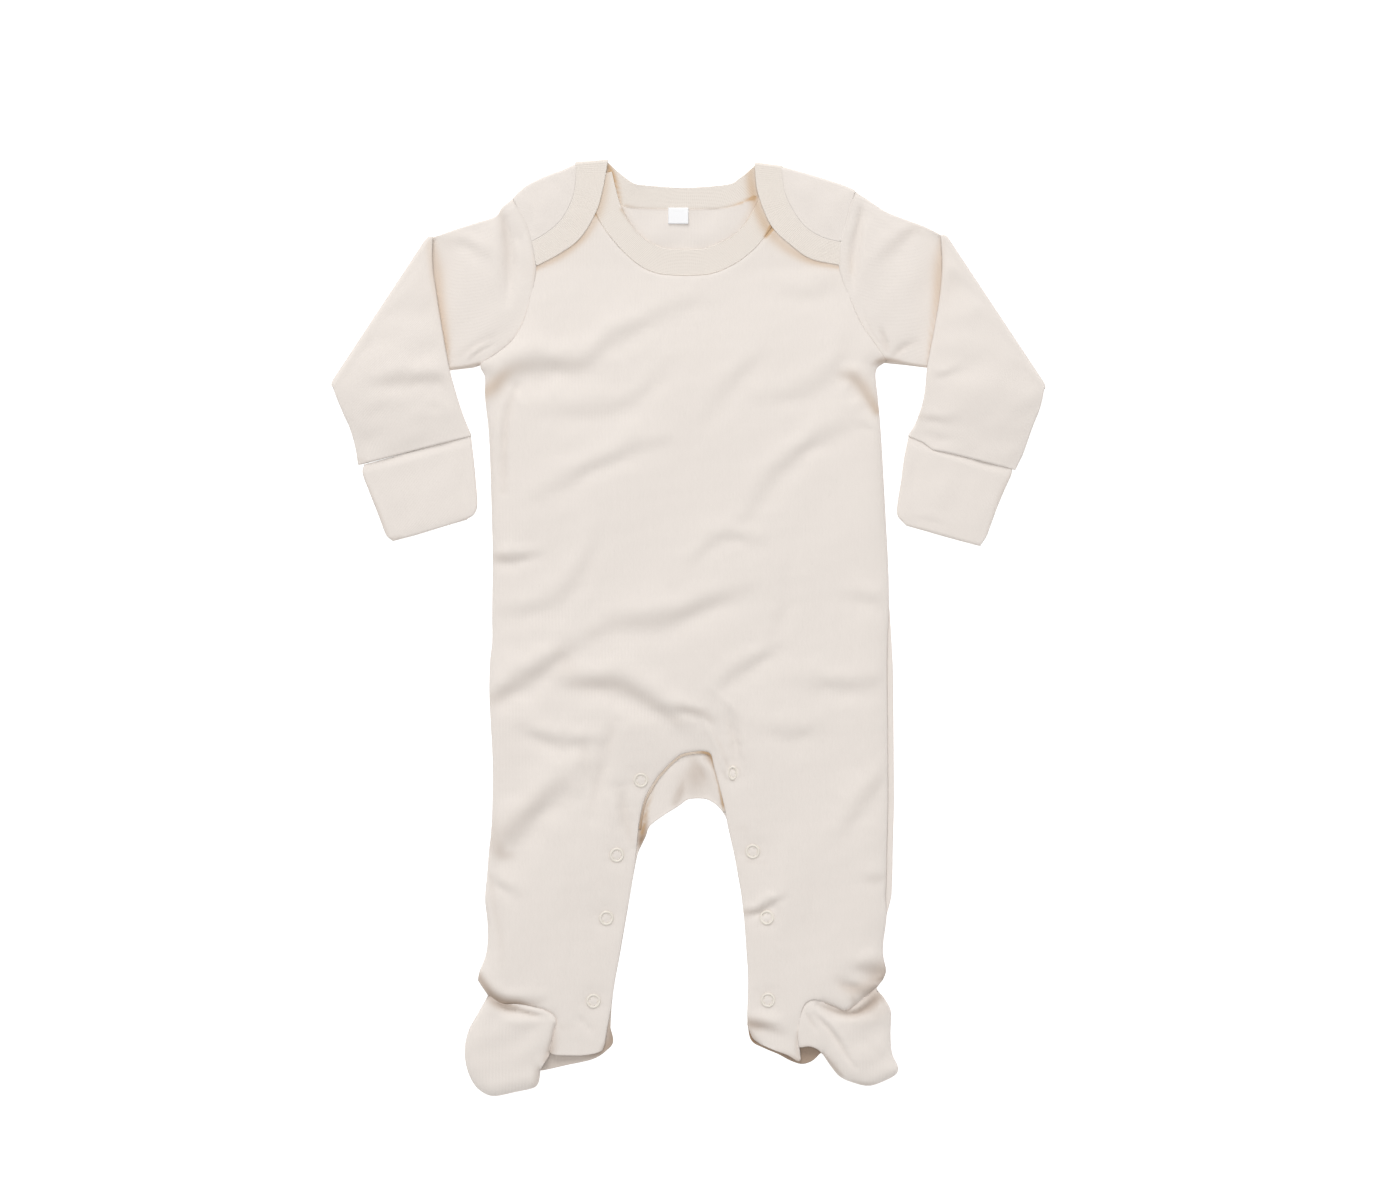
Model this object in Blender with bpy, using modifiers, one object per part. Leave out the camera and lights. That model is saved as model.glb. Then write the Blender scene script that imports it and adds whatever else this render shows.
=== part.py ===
"""A footed baby sleepsuit with an envelope neck, laid flat on its back with its front up.

The origin is on the surface it lies on, under the middle of its outline. +Y runs to the neck, +X to
the viewer's right and +Z up. Left and right are the viewer's. All sizes are millimetres until a
vertex is made, where MM turns them into metres.
"""

import math
from typing import NamedTuple

import bmesh
import bpy
import numpy as np
from mathutils import Vector
from mathutils.bvhtree import BVHTree

MM = 0.001

# Cloth and the gaps between its layers.
CLOTH = 1.2  # wall of the body, sleeves and feet
RIB = 1.4  # wall of the bindings and cuffs
LAYER_GAP = 0.4  # between a layer and the one that it lies on
SEAM_GAP = 0.5  # between two pieces along a seam
FOOT_GAP = 0.8  # along the foot seams, where two domed pieces meet

BACK_LEVEL = CLOTH / 2  # middle of the back panel's wall
FRONT_LEVEL = 1.5 * CLOTH + LAYER_GAP  # middle of the front panel's wall where it lies flat
FLAP_LEVEL = 2.5 * CLOTH + 2 * LAYER_GAP  # middle of the envelope flaps' wall
BACK_BINDING_LEVEL = RIB / 2
FRONT_BINDING_LEVEL = 1.5 * RIB + 0.2
FLAP_BINDING_LEVEL = 2.5 * RIB + 0.5

# Levels up the suit.
ARMPIT = 158.0
ARMHOLE_SPACING = 8.0
ARCH_FOOT = -130.0  # where the crotch arch runs into the inner edges of the legs

# Over what distance the cloth rounds down to its edges and its creases fade out towards them.
EDGE_ROLL = 16.0
PLACKET_ROLL = 34.0  # down to the inner edges of the legs, which the poppers keep flat
SEAM_ROLL = 9.0
SIDE_FADE = 12.0
INSIDE_FADE = 20.0
ANKLE_LEVEL = -200.0  # below which the front also rounds down to the foot seams
FOOT_RISE = 6.0  # how far a foot's top domes
SEAM_RISE = 0.3  # the share of its rise that the cloth keeps at a foot seam
CREASE_END = 0.08  # the share of a crease's length that its ends taper over
FRONT_INSET = 3.0  # of the front's shoulders, inside the flaps' folds

# The number of faces across each loft, and the spacing of its rows.
FRONT_COLUMNS = 10
BACK_COLUMNS = 3
FLAP_COLUMNS = 8
FLAP_ROWS = 3
FOOT_COLUMNS = 4
ANKLE_ROWS = 4
FOLD_STEPS = 5
SLEEVE_COLUMNS = 7
FRONT_SPACING = 12.0
FRONT_LEG_SPACING = 11.0
BACK_SPACING = 24.0
BACK_LEG_SPACING = 20.0

# Facing, poppers and label.
RIB_WIDTH = 16.9  # of the front neck binding
FACING_WIDTH = 2.2
FACING_WALL = 1.0
FACING_FOOT = 9  # the row of the front's inside where the facing ends
POPPER_RADIUS = 4.6
POPPER_WIRE = 0.75
POPPER_GAP = 0.35  # to the cloth under it
LABEL_WIDTH = 12.7
LABEL_HEIGHT = 10.4
LABEL_THICKNESS = 1.0

COTTON = (0.83, 0.76, 0.70)
RIBBED = (0.84, 0.77, 0.70)
POPPER_WHITE = (0.86, 0.81, 0.74)
LABEL_WHITE = (0.91, 0.91, 0.92)


class Edge(NamedTuple):
    """One level of a panel: where its left and right edges are at this height up the suit."""

    y: float
    left: float
    right: float


class Fold(NamedTuple):
    """A soft crease: its line, how far its ridge is from the line, and the ridge over the trough."""

    line: tuple
    width: float
    height: float


class Strip(NamedTuple):
    """One section of a binding: a point on its free edge and one on its seam."""

    edge: tuple
    seam: tuple


class Section(NamedTuple):
    """One section of a flattened tube, from its shoulder side to its underarm side.

    Its bow is the share of the armhole's curve that it keeps, its turn is how far it has gone over
    the elbow fold, in degrees, and its puff is how far its upper layer stands up.
    """

    top: tuple
    under: tuple
    bow: float
    turn: float
    puff: float


# The armholes, the armpits and the side seams down to the ankles.
SIDES = (
    Edge(274, -110.4, 104.0),
    Edge(270, -110.4, 103.0),
    Edge(257, -103.3, 98.8),
    Edge(244, -98.8, 96.2),
    Edge(228, -96.3, 95.2),
    Edge(214, -98.0, 99.5),
    Edge(200, -101.6, 104.5),
    Edge(190, -105.5, 109.5),
    Edge(180, -112.0, 116.8),
    Edge(172, -122.0, 122.0),
    Edge(167, -131.4, 124.2),
    Edge(163, -130.6, 119.0),
    Edge(158, -127.8, 117.3),
    Edge(145, -126.6, 118.6),
    Edge(119, -124.0, 120.6),
    Edge(67, -122.2, 123.5),
    Edge(43, -121.5, 124.5),
    Edge(-7, -122.8, 125.4),
    Edge(-45, -124.7, 126.4),
    Edge(-82, -123.0, 126.7),
    Edge(-127, -122.8, 126.4),
    Edge(-158, -125.3, 125.4),
    Edge(-185, -126.6, 123.5),
    Edge(-197, -126.0, 122.0),
    Edge(-206, -127.2, 122.0),
    Edge(-216, -131.2, 123.5),
)

# The fold at the top of each shoulder, from the armhole to the neck.
SHOULDER_FOLD = {
    "left": ((-110.4, 270.1), (-96.3, 280.7), (-80.6, 288.5), (-72.6, 292.2)),
    "right": ((104.0, 273.6), (90.2, 281.0), (74.4, 285.4), (60.2, 289.3)),
}

# The seam that joins the front to its neck binding, up from the middle of the neck.
FRONT_NECK = (
    Edge(284.0, -64.9, 63.2),
    Edge(273.0, -62.3, 61.8),
    Edge(261.3, -58.7, 57.8),
    Edge(252.3, -53.6, 52.0),
    Edge(247.7, -50.3, 48.6),
    Edge(240.0, -44.0, 42.3),
    Edge(233.0, -36.8, 34.2),
    Edge(228.5, -31.0, 27.0),
    Edge(225.3, -25.1, 20.4),
    Edge(223.4, -19.2, 14.6),
    Edge(222.5, -13.2, 9.0),
    Edge(222.0, -2.0, -2.0),
)

# The seam that joins the back to its neck binding.
BACK_NECK = (
    Edge(290.4, -69.8, 59.0),
    Edge(287.8, -67.9, 58.0),
    Edge(285.0, -66.0, 55.5),
    Edge(280.0, -62.2, 50.8),
    Edge(275.0, -58.0, 45.4),
    Edge(270.0, -51.8, 37.4),
    Edge(267.6, -47.0, 32.4),
    Edge(266.0, -40.9, 27.4),
    Edge(265.0, -32.0, 21.2),
    Edge(264.5, -22.0, 12.0),
    Edge(264.2, -2.0, -2.0),
)

# The front's crotch arch and the inner edges of its legs.
FRONT_INSIDE = (
    Edge(-76.6, 8.0, 8.0),
    Edge(-77.2, 1.4, 12.0),
    Edge(-79.0, -5.4, 14.0),
    Edge(-83.8, -11.3, 15.4),
    Edge(-88.8, -16.2, 16.5),
    Edge(-93.2, -20.1, 17.8),
    Edge(-104.6, -27.0, 21.0),
    Edge(-114.0, -30.0, 23.2),
    Edge(-125.8, -32.0, 25.8),
    Edge(-141.8, -34.0, 29.9),
    Edge(-168.0, -37.4, 34.1),
    Edge(-208.0, -44.6, 36.9),
    Edge(-216.0, -46.3, 37.3),
)

# The back's crotch, which hangs lower, and the inner edges of its legs.
BACK_INSIDE = (
    Edge(-105.8, 5.7, 5.7),
    Edge(-106.3, 1.6, 10.4),
    Edge(-107.6, -1.4, 14.2),
    Edge(-111.5, -6.4, 19.0),
    Edge(-117.8, -16.3, 23.4),
    Edge(-124.1, -24.5, 25.3),
    Edge(-132.0, -29.3, 27.5),
    Edge(-141.8, -32.9, 29.8),
    Edge(-168.0, -37.1, 34.1),
    Edge(-208.0, -44.3, 36.9),
    Edge(-226.0, -48.0, 37.5),
)

# The front leg's lower end, from the ankle notch along the foot seam to the sole and the heel.
LEG_END = {
    "left": (
        (-125.4, -227.6),
        (-116.5, -235.4),
        (-107.5, -236.0),
        (-97.5, -237.8),
        (-90.0, -240.0),
        (-84.0, -245.0),
        (-85.4, -256.0),
        (-87.6, -266.2),
        (-72.0, -268.0),
        (-59.0, -266.2),
        (-52.6, -259.6),
    ),
    "right": (
        (117.9, -224.9),
        (110.6, -231.4),
        (99.4, -239.4),
        (91.8, -237.0),
        (83.9, -234.0),
        (77.4, -232.8),
        (72.0, -237.0),
        (69.6, -254.0),
        (71.0, -272.4),
        (56.0, -266.0),
        (39.8, -257.6),
    ),
}
FOOT_SEAM = 8  # points of a leg's end that are on the foot seam

# The toes' outlines, from the ankle notch to the far end of the foot seam.
TOE = {
    "left": (
        (-126.2, -231.6),
        (-131.0, -242.0),
        (-137.2, -252.6),
        (-140.2, -265.0),
        (-137.6, -277.5),
        (-132.8, -287.6),
        (-125.4, -294.2),
        (-110.5, -290.6),
        (-97.6, -287.4),
        (-94.9, -283.0),
        (-93.9, -277.8),
    ),
    "right": (
        (118.9, -228.4),
        (122.0, -232.6),
        (126.0, -241.5),
        (126.2, -254.0),
        (127.4, -266.6),
        (131.4, -277.6),
        (124.6, -282.4),
        (114.1, -286.4),
        (105.3, -284.5),
        (94.8, -280.0),
        (84.4, -267.2),
    ),
}

# The soles' outlines go on from the toes' round the heel.
HEEL = {
    "left": (
        (-91.6, -277.8),
        (-76.8, -274.5),
        (-62.0, -269.8),
        (-51.0, -264.2),
        (-47.8, -259.6),
        (-49.4, -251.0),
    ),
    "right": (
        (83.0, -266.9),
        (77.6, -271.5),
        (71.0, -273.4),
        (56.4, -266.6),
        (39.8, -258.3),
        (37.2, -249.0),
    ),
}
ANKLE = {"left": ((-124.8, -229.2), (-48.8, -240.4)), "right": ((117.4, -226.4), (37.5, -240.4))}

# How far the front stands over its flat level along the middle of the body.
LOFT_LEVELS = (290, 228, 205, 175, 120, 0, -90, -150, -215, -232, -275)
LOFT_RISES = (0.2, 0.4, 2.0, 3.6, 4.4, 4.6, 4.2, 4.2, 4.0, 3.8, 3.4)

# The largest creases, each line running along its steepest side.
FOLDS = (
    Fold(((-124, 151), (-106, 166), (-84, 170), (-62, 168), (-43, 185), (-18, 198), (1, 207)), 7.4, 4.2),
    Fold(((-84, 138), (-56, 139), (-30, 146), (-15, 157), (1, 176)), 6.1, 2.2),
    Fold(((20, 144), (29, 160), (48, 176)), 5.4, 1.6),
    Fold(((98, 160), (108, 151), (117, 141)), 6.1, 3.0),
    Fold(((42, 78), (51, 97), (67, 113), (95, 125), (108, 138)), 6.1, 3.0),
    Fold(((-97, 75), (-75, 91), (-56, 106), (-28, 118), (-12, 119)), 6.1, 2.2),
    Fold(((13, 47), (26, 59), (39, 62)), 5.4, 1.4),
    Fold(((-122, 48), (-97, 46)), 4.7, 2.2),
    Fold(((-122, 12), (-97, 15), (-75, 28), (-62, 47)), 6.1, 1.6),
    Fold(((-122, -42), (-100, -26), (-75, -13), (-56, -1), (-31, 8), (7, 21), (32, 31)), 7.4, 4.0),
    Fold(((-72, -29), (-43, -35), (-25, -45), (-12, -54), (7, -51)), 6.1, 3.6),
    Fold(((26, -32), (35, -23), (54, -13)), 5.4, 1.6),
    Fold(((-100, -64), (-81, -70), (-62, -70)), 5.4, 1.6),
    Fold(((-122, -142), (-113, -124), (-97, -105), (-75, -89)), 9.4, 3.6),
    Fold(((76, -32), (95, -35)), 5.4, 1.4),
    Fold(((95, -127), (108, -108), (120, -92)), 6.7, 1.6),
    Fold(((35, -180), (57, -168)), 4.7, 1.6),
    Fold(((96, -226), (108, -215), (121, -208)), 5.4, 3.0),
    Fold(((38, -248), (58, -252)), 4.0, 2.2),
)

# Both sleeves: out along the arm, over the elbow fold, and down to the wrist.
SLEEVES = {
    "left": (
        Section((-110.9, 269.4), (-132.2, 167.6), 1.0, 0, 1.4),
        Section((-118.4, 264.6), (-137.0, 166.6), 0.82, 0, 1.8),
        Section((-122.0, 258.6), (-141.5, 166.0), 0.6, 0, 2.0),
        Section((-134.0, 254.8), (-150.0, 165.0), 0.38, 0, 1.6),
        Section((-147.5, 250.4), (-166.0, 162.6), 0.16, 0, 0.4),
        Section((-157.0, 247.4), (-194.0, 158.0), 0.04, 0, 0.0),
        Section((-163.6, 245.4), (-222.8, 152.2), 0.0, 0, 0.0),
        Section((-163.6, 245.4), (-222.8, 152.2), 0.0, 180, 0.0),
        Section((-161.4, 229.0), (-221.2, 146.4), 0.0, 180, 1.2),
        Section((-159.4, 213.0), (-219.4, 140.6), 0.0, 180, 2.2),
        Section((-155.6, 189.0), (-217.2, 134.0), 0.0, 180, 2.8),
        Section((-151.4, 166.0), (-215.2, 127.4), 0.0, 180, 3.0),
        Section((-147.0, 149.0), (-213.0, 119.4), 0.0, 180, 2.8),
        Section((-142.2, 134.0), (-210.8, 111.4), 0.0, 180, 2.4),
        Section((-138.4, 121.6), (-208.4, 103.6), 0.0, 180, 1.6),
    ),
    "right": (
        Section((104.8, 272.4), (125.8, 168.0), 1.0, 0, 1.4),
        Section((114.5, 266.6), (130.0, 167.4), 0.82, 0, 1.8),
        Section((124.8, 259.9), (136.0, 166.8), 0.6, 0, 2.0),
        Section((137.0, 255.8), (147.0, 165.4), 0.38, 0, 1.6),
        Section((149.0, 251.8), (166.0, 163.0), 0.16, 0, 0.4),
        Section((158.0, 248.0), (194.0, 156.6), 0.04, 0, 0.0),
        Section((163.0, 243.4), (222.6, 149.8), 0.0, 0, 0.0),
        Section((163.0, 243.4), (222.6, 149.8), 0.0, 180, 0.0),
        Section((160.8, 227.0), (221.8, 143.6), 0.0, 180, 1.2),
        Section((158.4, 210.0), (220.4, 137.4), 0.0, 180, 2.2),
        Section((154.4, 187.0), (218.0, 130.8), 0.0, 180, 2.8),
        Section((150.4, 166.0), (215.6, 124.4), 0.0, 180, 3.0),
        Section((148.4, 146.0), (212.6, 116.6), 0.0, 180, 2.8),
        Section((144.2, 131.4), (209.6, 109.0), 0.0, 180, 2.4),
        Section((139.2, 122.4), (206.0, 101.6), 0.0, 180, 1.6),
    ),
}
CUFFS = {
    "left": (
        Section((-138.2, 120.2), (-206.4, 102.2), 0.0, 0, 1.0),
        Section((-136.4, 106.0), (-202.4, 88.4), 0.0, 0, 1.4),
        Section((-135.0, 91.4), (-197.2, 75.0), 0.0, 0, 1.6),
        Section((-134.4, 77.6), (-191.8, 61.6), 0.0, 0, 1.4),
        Section((-138.4, 68.6), (-188.2, 56.2), 0.0, 0, 1.0),
    ),
    "right": (
        Section((138.8, 121.0), (203.2, 100.8), 0.0, 0, 1.0),
        Section((136.6, 107.0), (199.8, 88.4), 0.0, 0, 1.4),
        Section((134.6, 92.0), (194.0, 77.0), 0.0, 0, 1.6),
        Section((132.4, 78.0), (188.6, 63.4), 0.0, 0, 1.4),
        Section((136.4, 66.6), (183.4, 54.0), 0.0, 0, 1.0),
    ),
}
FIRST_FOLDED = 7  # the section of a sleeve that starts over the elbow fold
ELBOW_RADIUS = 1.9  # of the flattened tube's middle as it turns over
PUFF_SHAPE = 0.7  # under 1, a tube's upper layer is fuller near its edges
DROP_START = 1.5  # past the underarm, where the forearm starts to come down beside the upper sleeve
SLEEVE_DROP = 16.0  # over which it comes down

# The back neck binding: up along the left flap, over the shoulder, round the back of the neck,
# over the other shoulder and down along the right flap.
FLAP_BINDING = {
    "left": (
        Strip((-95.9, 228.4), (-99.4, 243.4)),
        Strip((-80.6, 236.5), (-89.4, 249.4)),
        Strip((-68.0, 246.3), (-80.4, 257.4)),
        Strip((-58.5, 262.1), (-74.0, 268.6)),
        Strip((-54.1, 276.6), (-71.4, 279.4)),
        Strip((-50.9, 292.0), (-70.7, 291.6)),
    ),
    "right": (
        Strip((94.9, 228.9), (95.5, 243.4)),
        Strip((76.9, 232.8), (83.6, 246.6)),
        Strip((64.3, 241.3), (73.1, 253.2)),
        Strip((51.5, 254.1), (65.6, 263.3)),
        Strip((43.5, 274.7), (60.6, 275.0)),
        Strip((41.4, 290.2), (58.0, 287.8)),
    ),
}
BACK_BINDING = (
    Strip((-45.3, 288.6), (-66.0, 285.0)),
    Strip((-37.4, 282.4), (-58.0, 275.0)),
    Strip((-33.0, 280.2), (-51.8, 270.0)),
    Strip((-30.4, 279.8), (-47.0, 267.6)),
    Strip((-27.0, 279.5), (-40.9, 266.0)),
    Strip((-22.0, 279.1), (-32.0, 265.0)),
    Strip((-14.0, 278.4), (-22.0, 264.5)),
    Strip((-2.0, 278.0), (-2.0, 264.2)),
    Strip((9.0, 278.5), (12.0, 264.5)),
    Strip((16.6, 279.1), (21.2, 265.0)),
    Strip((21.4, 279.6), (27.4, 266.0)),
    Strip((25.0, 280.2), (32.4, 267.6)),
    Strip((28.2, 281.2), (37.4, 270.0)),
    Strip((32.4, 284.4), (45.4, 275.0)),
    Strip((36.6, 287.4), (50.8, 280.0)),
)
PEAK_OUT = {"left": (0.0, 1.0), "right": (0.148, 0.989)}  # away from the neck peaks' fold lines

POPPERS = {
    "left": ((-30.2, -95.1), (-45.3, -142.1), (-51.9, -181.8), (-60.1, -234.0)),
    "right": ((27.5, -90.5), (40.1, -139.9), (49.0, -181.4), (49.7, -233.3)),
}
LABEL_CENTRE = (-6.6, 260.3)


# ---------------------------------------------------------------------------------------------
# Curves


def at_level(table, side, y):
    """Where a panel's edge is at one level, read between the rows of its table."""
    rows = sorted(table, key=lambda row: row.y)
    return float(np.interp(y, [row.y for row in rows], [getattr(row, side) for row in rows]))


def along(points, share):
    """A point at a share of the way along a line, counted in its own stretches."""
    place = share * (len(points) - 1)
    index = min(int(place), len(points) - 2)
    return between(points[index], points[index + 1], place - index)


def between(start, end, share):
    """A point between two others."""
    return tuple(a + (b - a) * share for a, b in zip(start, end))


def distance(points, x, y):
    """How far a place is from a line of points."""
    place = np.array((x, y))
    nearest = math.inf
    for start, end in zip(points, points[1:]):
        start, run = np.array(start), np.subtract(end, start)
        share = np.clip(np.dot(place - start, run) / max(np.dot(run, run), 1e-9), 0.0, 1.0)
        nearest = min(nearest, float(np.linalg.norm(place - start - run * share)))
    return nearest


def outward(side):
    """The direction away from the body, square to a shoulder's fold."""
    first, last = SHOULDER_FOLD[side][0], SHOULDER_FOLD[side][-1]
    run = Vector((last[0] - first[0], last[1] - first[1])).normalized()
    out = Vector((-run.y, run.x))
    return out if out.y > 0 else -out


def shoulder_line(side, inset):
    """A shoulder's fold line, moved in from the outline."""
    out = outward(side)
    return [(x - out.x * inset, y - out.y * inset) for x, y in SHOULDER_FOLD[side]]


def outer_edge(side, y, inset):
    """A panel's outer edge: the armhole or side seam, or the fold over the shoulder above it."""
    seam = at_level(SIDES, side, y)
    line = sorted(shoulder_line(side, inset), key=lambda point: point[1])
    fold = float(np.interp(y, [point[1] for point in line], [point[0] for point in line]))
    return max(seam, fold) if side == "left" else min(seam, fold)


# ---------------------------------------------------------------------------------------------
# The front's surface


def side_line(side):
    """A side seam from the armpit to the ankle."""
    return [(getattr(row, side), row.y) for row in SIDES if row.y <= 167]


def leg_line(side):
    """The crotch arch and the leg's inner edge, on to the heel."""
    inside = [(getattr(row, side), row.y) for row in FRONT_INSIDE]
    return inside + list(LEG_END[side][:-4:-1])


SIDE_LINES = {side: side_line(side) for side in ("left", "right")}
LEG_LINES = {side: leg_line(side) for side in ("left", "right")}


def roll(reach, gap):
    """The share of its full rise that cloth has at a distance from its edge."""
    share = 1.0 - min(gap / reach, 1.0)
    return math.sqrt(1.0 - share * share)


def crease(fold, x, y):
    """A ridge on the left of the crease's line and a trough on its right, soft at both ends."""
    place = np.array((x, y))
    lengths = [math.dist(a, b) for a, b in zip(fold.line, fold.line[1:])]
    nearest, passed, height = math.inf, 0.0, 0.0
    for start, end, length in zip(fold.line, fold.line[1:], lengths):
        run = np.subtract(end, start) / length
        reach = np.dot(place - start, run)
        inside = np.clip(reach, 0.0, length)
        gap = float(np.linalg.norm(place - start - run * inside))
        if gap < nearest:
            nearest = gap
            off = (run[0] * (y - start[1]) - run[1] * (x - start[0])) / fold.width
            share = min(max((passed + inside) / sum(lengths), CREASE_END), 1 - CREASE_END)
            past = abs(reach - inside) / (1.5 * fold.width)
            taper = math.sqrt(math.sin(math.pi * share)) * math.exp(-past * past)
            height = fold.height / 2 * off * math.exp((1 - off * off) / 2) * taper
        passed += length
    return height


def front_level(x, y):
    """The middle of the front's wall over the surface that the suit lies on."""
    side = min(distance(line, x, y) for line in SIDE_LINES.values())
    inside = min(distance(line, x, y) for line in LEG_LINES.values())
    rise = float(np.interp(y, LOFT_LEVELS[::-1], LOFT_RISES[::-1]))
    rise *= roll(EDGE_ROLL, side) * min(1.0, inside / PLACKET_ROLL) ** 0.8
    if y < ANKLE_LEVEL:
        seam = LEG_END["left" if x < 0 else "right"][:FOOT_SEAM]
        rise *= SEAM_RISE + (1 - SEAM_RISE) * roll(SEAM_ROLL, distance(seam, x, y))
    lift = sum(crease(fold, x, y) for fold in FOLDS)
    lift *= min(1.0, side / SIDE_FADE, inside / INSIDE_FADE)
    return max(FRONT_LEVEL, FRONT_LEVEL + rise + lift)


def back_level(x, y):
    """The middle of the back's wall, flat on the surface everywhere."""
    return BACK_LEVEL


# ---------------------------------------------------------------------------------------------
# Meshes


def paint(part, colour, roughness):
    """Give a piece a material of its own."""
    material = bpy.data.materials.new(part.name)
    material.use_nodes = True
    shader = material.node_tree.nodes["Principled BSDF"]
    shader.inputs["Base Color"].default_value = (*colour, 1.0)
    shader.inputs["Roughness"].default_value = roughness
    shader.inputs["Metallic"].default_value = 0.0
    part.data.materials.append(material)


def sewn(mesh, name, colour, wall):
    """Turn the middle surface of a piece of cloth into a named object with its wall."""
    data = bpy.data.meshes.new(name)
    mesh.to_mesh(data)
    mesh.free()
    data.shade_smooth()
    part = bpy.data.objects.new(name, data)
    COLLECTION.objects.link(part)
    paint(part, colour, 0.9)
    solid = part.modifiers.new("wall", "SOLIDIFY")
    solid.thickness = wall * MM
    solid.offset = 0.0
    return part


def vertex(mesh, x, y, z):
    """A vertex at a place given in millimetres."""
    return mesh.verts.new((x * MM, y * MM, z * MM))


def skin(mesh, rows, turned=False, closed=False):
    """Faces between neighbouring rows of vertices; rows that close on themselves make a tube."""
    for row, following in zip(rows, rows[1:]):
        count = len(row)
        for index in range(count if closed else count - 1):
            after = (index + 1) % count
            corners = [row[index], row[after], following[after], following[index]]
            corners = [corner for n, corner in enumerate(corners) if corner not in corners[:n]]
            if len(corners) > 2:
                mesh.faces.new(corners[::-1] if turned else corners)


def steps(start, end, spacing):
    """Evenly spaced levels from start down to end, without the last."""
    count = max(1, round(abs(start - end) / spacing))
    return [start + (end - start) * index / count for index in range(count)]


def armhole_levels(top):
    """The levels of a panel's rows from the middle of its neck down to just above its armpits."""
    corners = [top] + [row.y for row in SIDES if ARMPIT <= row.y < top - 2]
    levels = []
    for level, below in zip(corners, corners[1:]):
        levels += steps(level, below, ARMHOLE_SPACING)
    return levels


def middle(neck, inside, y):
    """Where the line between a panel's two halves is, from the neck down to the crotch."""
    top, bottom = neck[-1], inside[0]
    share = (top.y - y) / (top.y - bottom.y)
    return top.left + (bottom.left - top.left) * share


def panel_row(mesh, y, edges, columns, level, centres):
    """One row of a half panel, from its outer edge to its inner edge or the shared middle."""
    outer, inner = edges
    row = [
        vertex(mesh, x, y, level(x, y))
        for x in (outer + (inner - outer) * index / columns for index in range(columns))
    ]
    if y in centres:
        if centres[y] is None:
            centres[y] = vertex(mesh, inner, y, level(inner, y))
        row.append(centres[y])
    else:
        row.append(vertex(mesh, inner, y, level(inner, y)))
    return row


def front_panel():
    """The front: two shoulders, the body, and two legs down to the foot seams."""
    mesh = bmesh.new()
    neck = [row.y for row in FRONT_NECK]
    arch = [row.y for row in FRONT_INSIDE if row.y > ARCH_FOOT]
    body = armhole_levels(neck[-1]) + steps(ARMPIT, arch[0], FRONT_SPACING)
    legs = steps(ARCH_FOOT, FRONT_INSIDE[-1].y, FRONT_LEG_SPACING) + [FRONT_INSIDE[-1].y]
    centres = dict.fromkeys(body + arch[:1])
    for side in ("left", "right"):
        rows = []
        for y in neck[:-1]:
            edges = (outer_edge(side, y, FRONT_INSET), at_level(FRONT_NECK, side, y))
            rows.append(panel_row(mesh, y, edges, FRONT_COLUMNS, front_level, centres))
        for y in body + arch[:1]:
            edges = (at_level(SIDES, side, y), middle(FRONT_NECK, FRONT_INSIDE, y))
            rows.append(panel_row(mesh, y, edges, FRONT_COLUMNS, front_level, centres))
        for y in arch[1:] + legs:
            edges = (at_level(SIDES, side, y), at_level(FRONT_INSIDE, side, y))
            rows.append(panel_row(mesh, y, edges, FRONT_COLUMNS, front_level, centres))
        rows += ankle_rows(mesh, side, rows[-1])
        skin(mesh, rows, turned=side == "right")
    return sewn(mesh, "front_panel", COTTON, CLOTH)


def ankle_rows(mesh, side, ankle):
    """The rows between a leg's last straight one and its curved lower end."""
    end = [along(LEG_END[side], index / FRONT_COLUMNS) for index in range(FRONT_COLUMNS + 1)]
    start = [(corner.co.x / MM, corner.co.y / MM) for corner in ankle]
    rows = []
    for step in range(1, ANKLE_ROWS + 1):
        places = [between(a, b, step / ANKLE_ROWS) for a, b in zip(start, end)]
        rows.append([vertex(mesh, x, y, front_level(x, y)) for x, y in places])
    return rows


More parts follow.
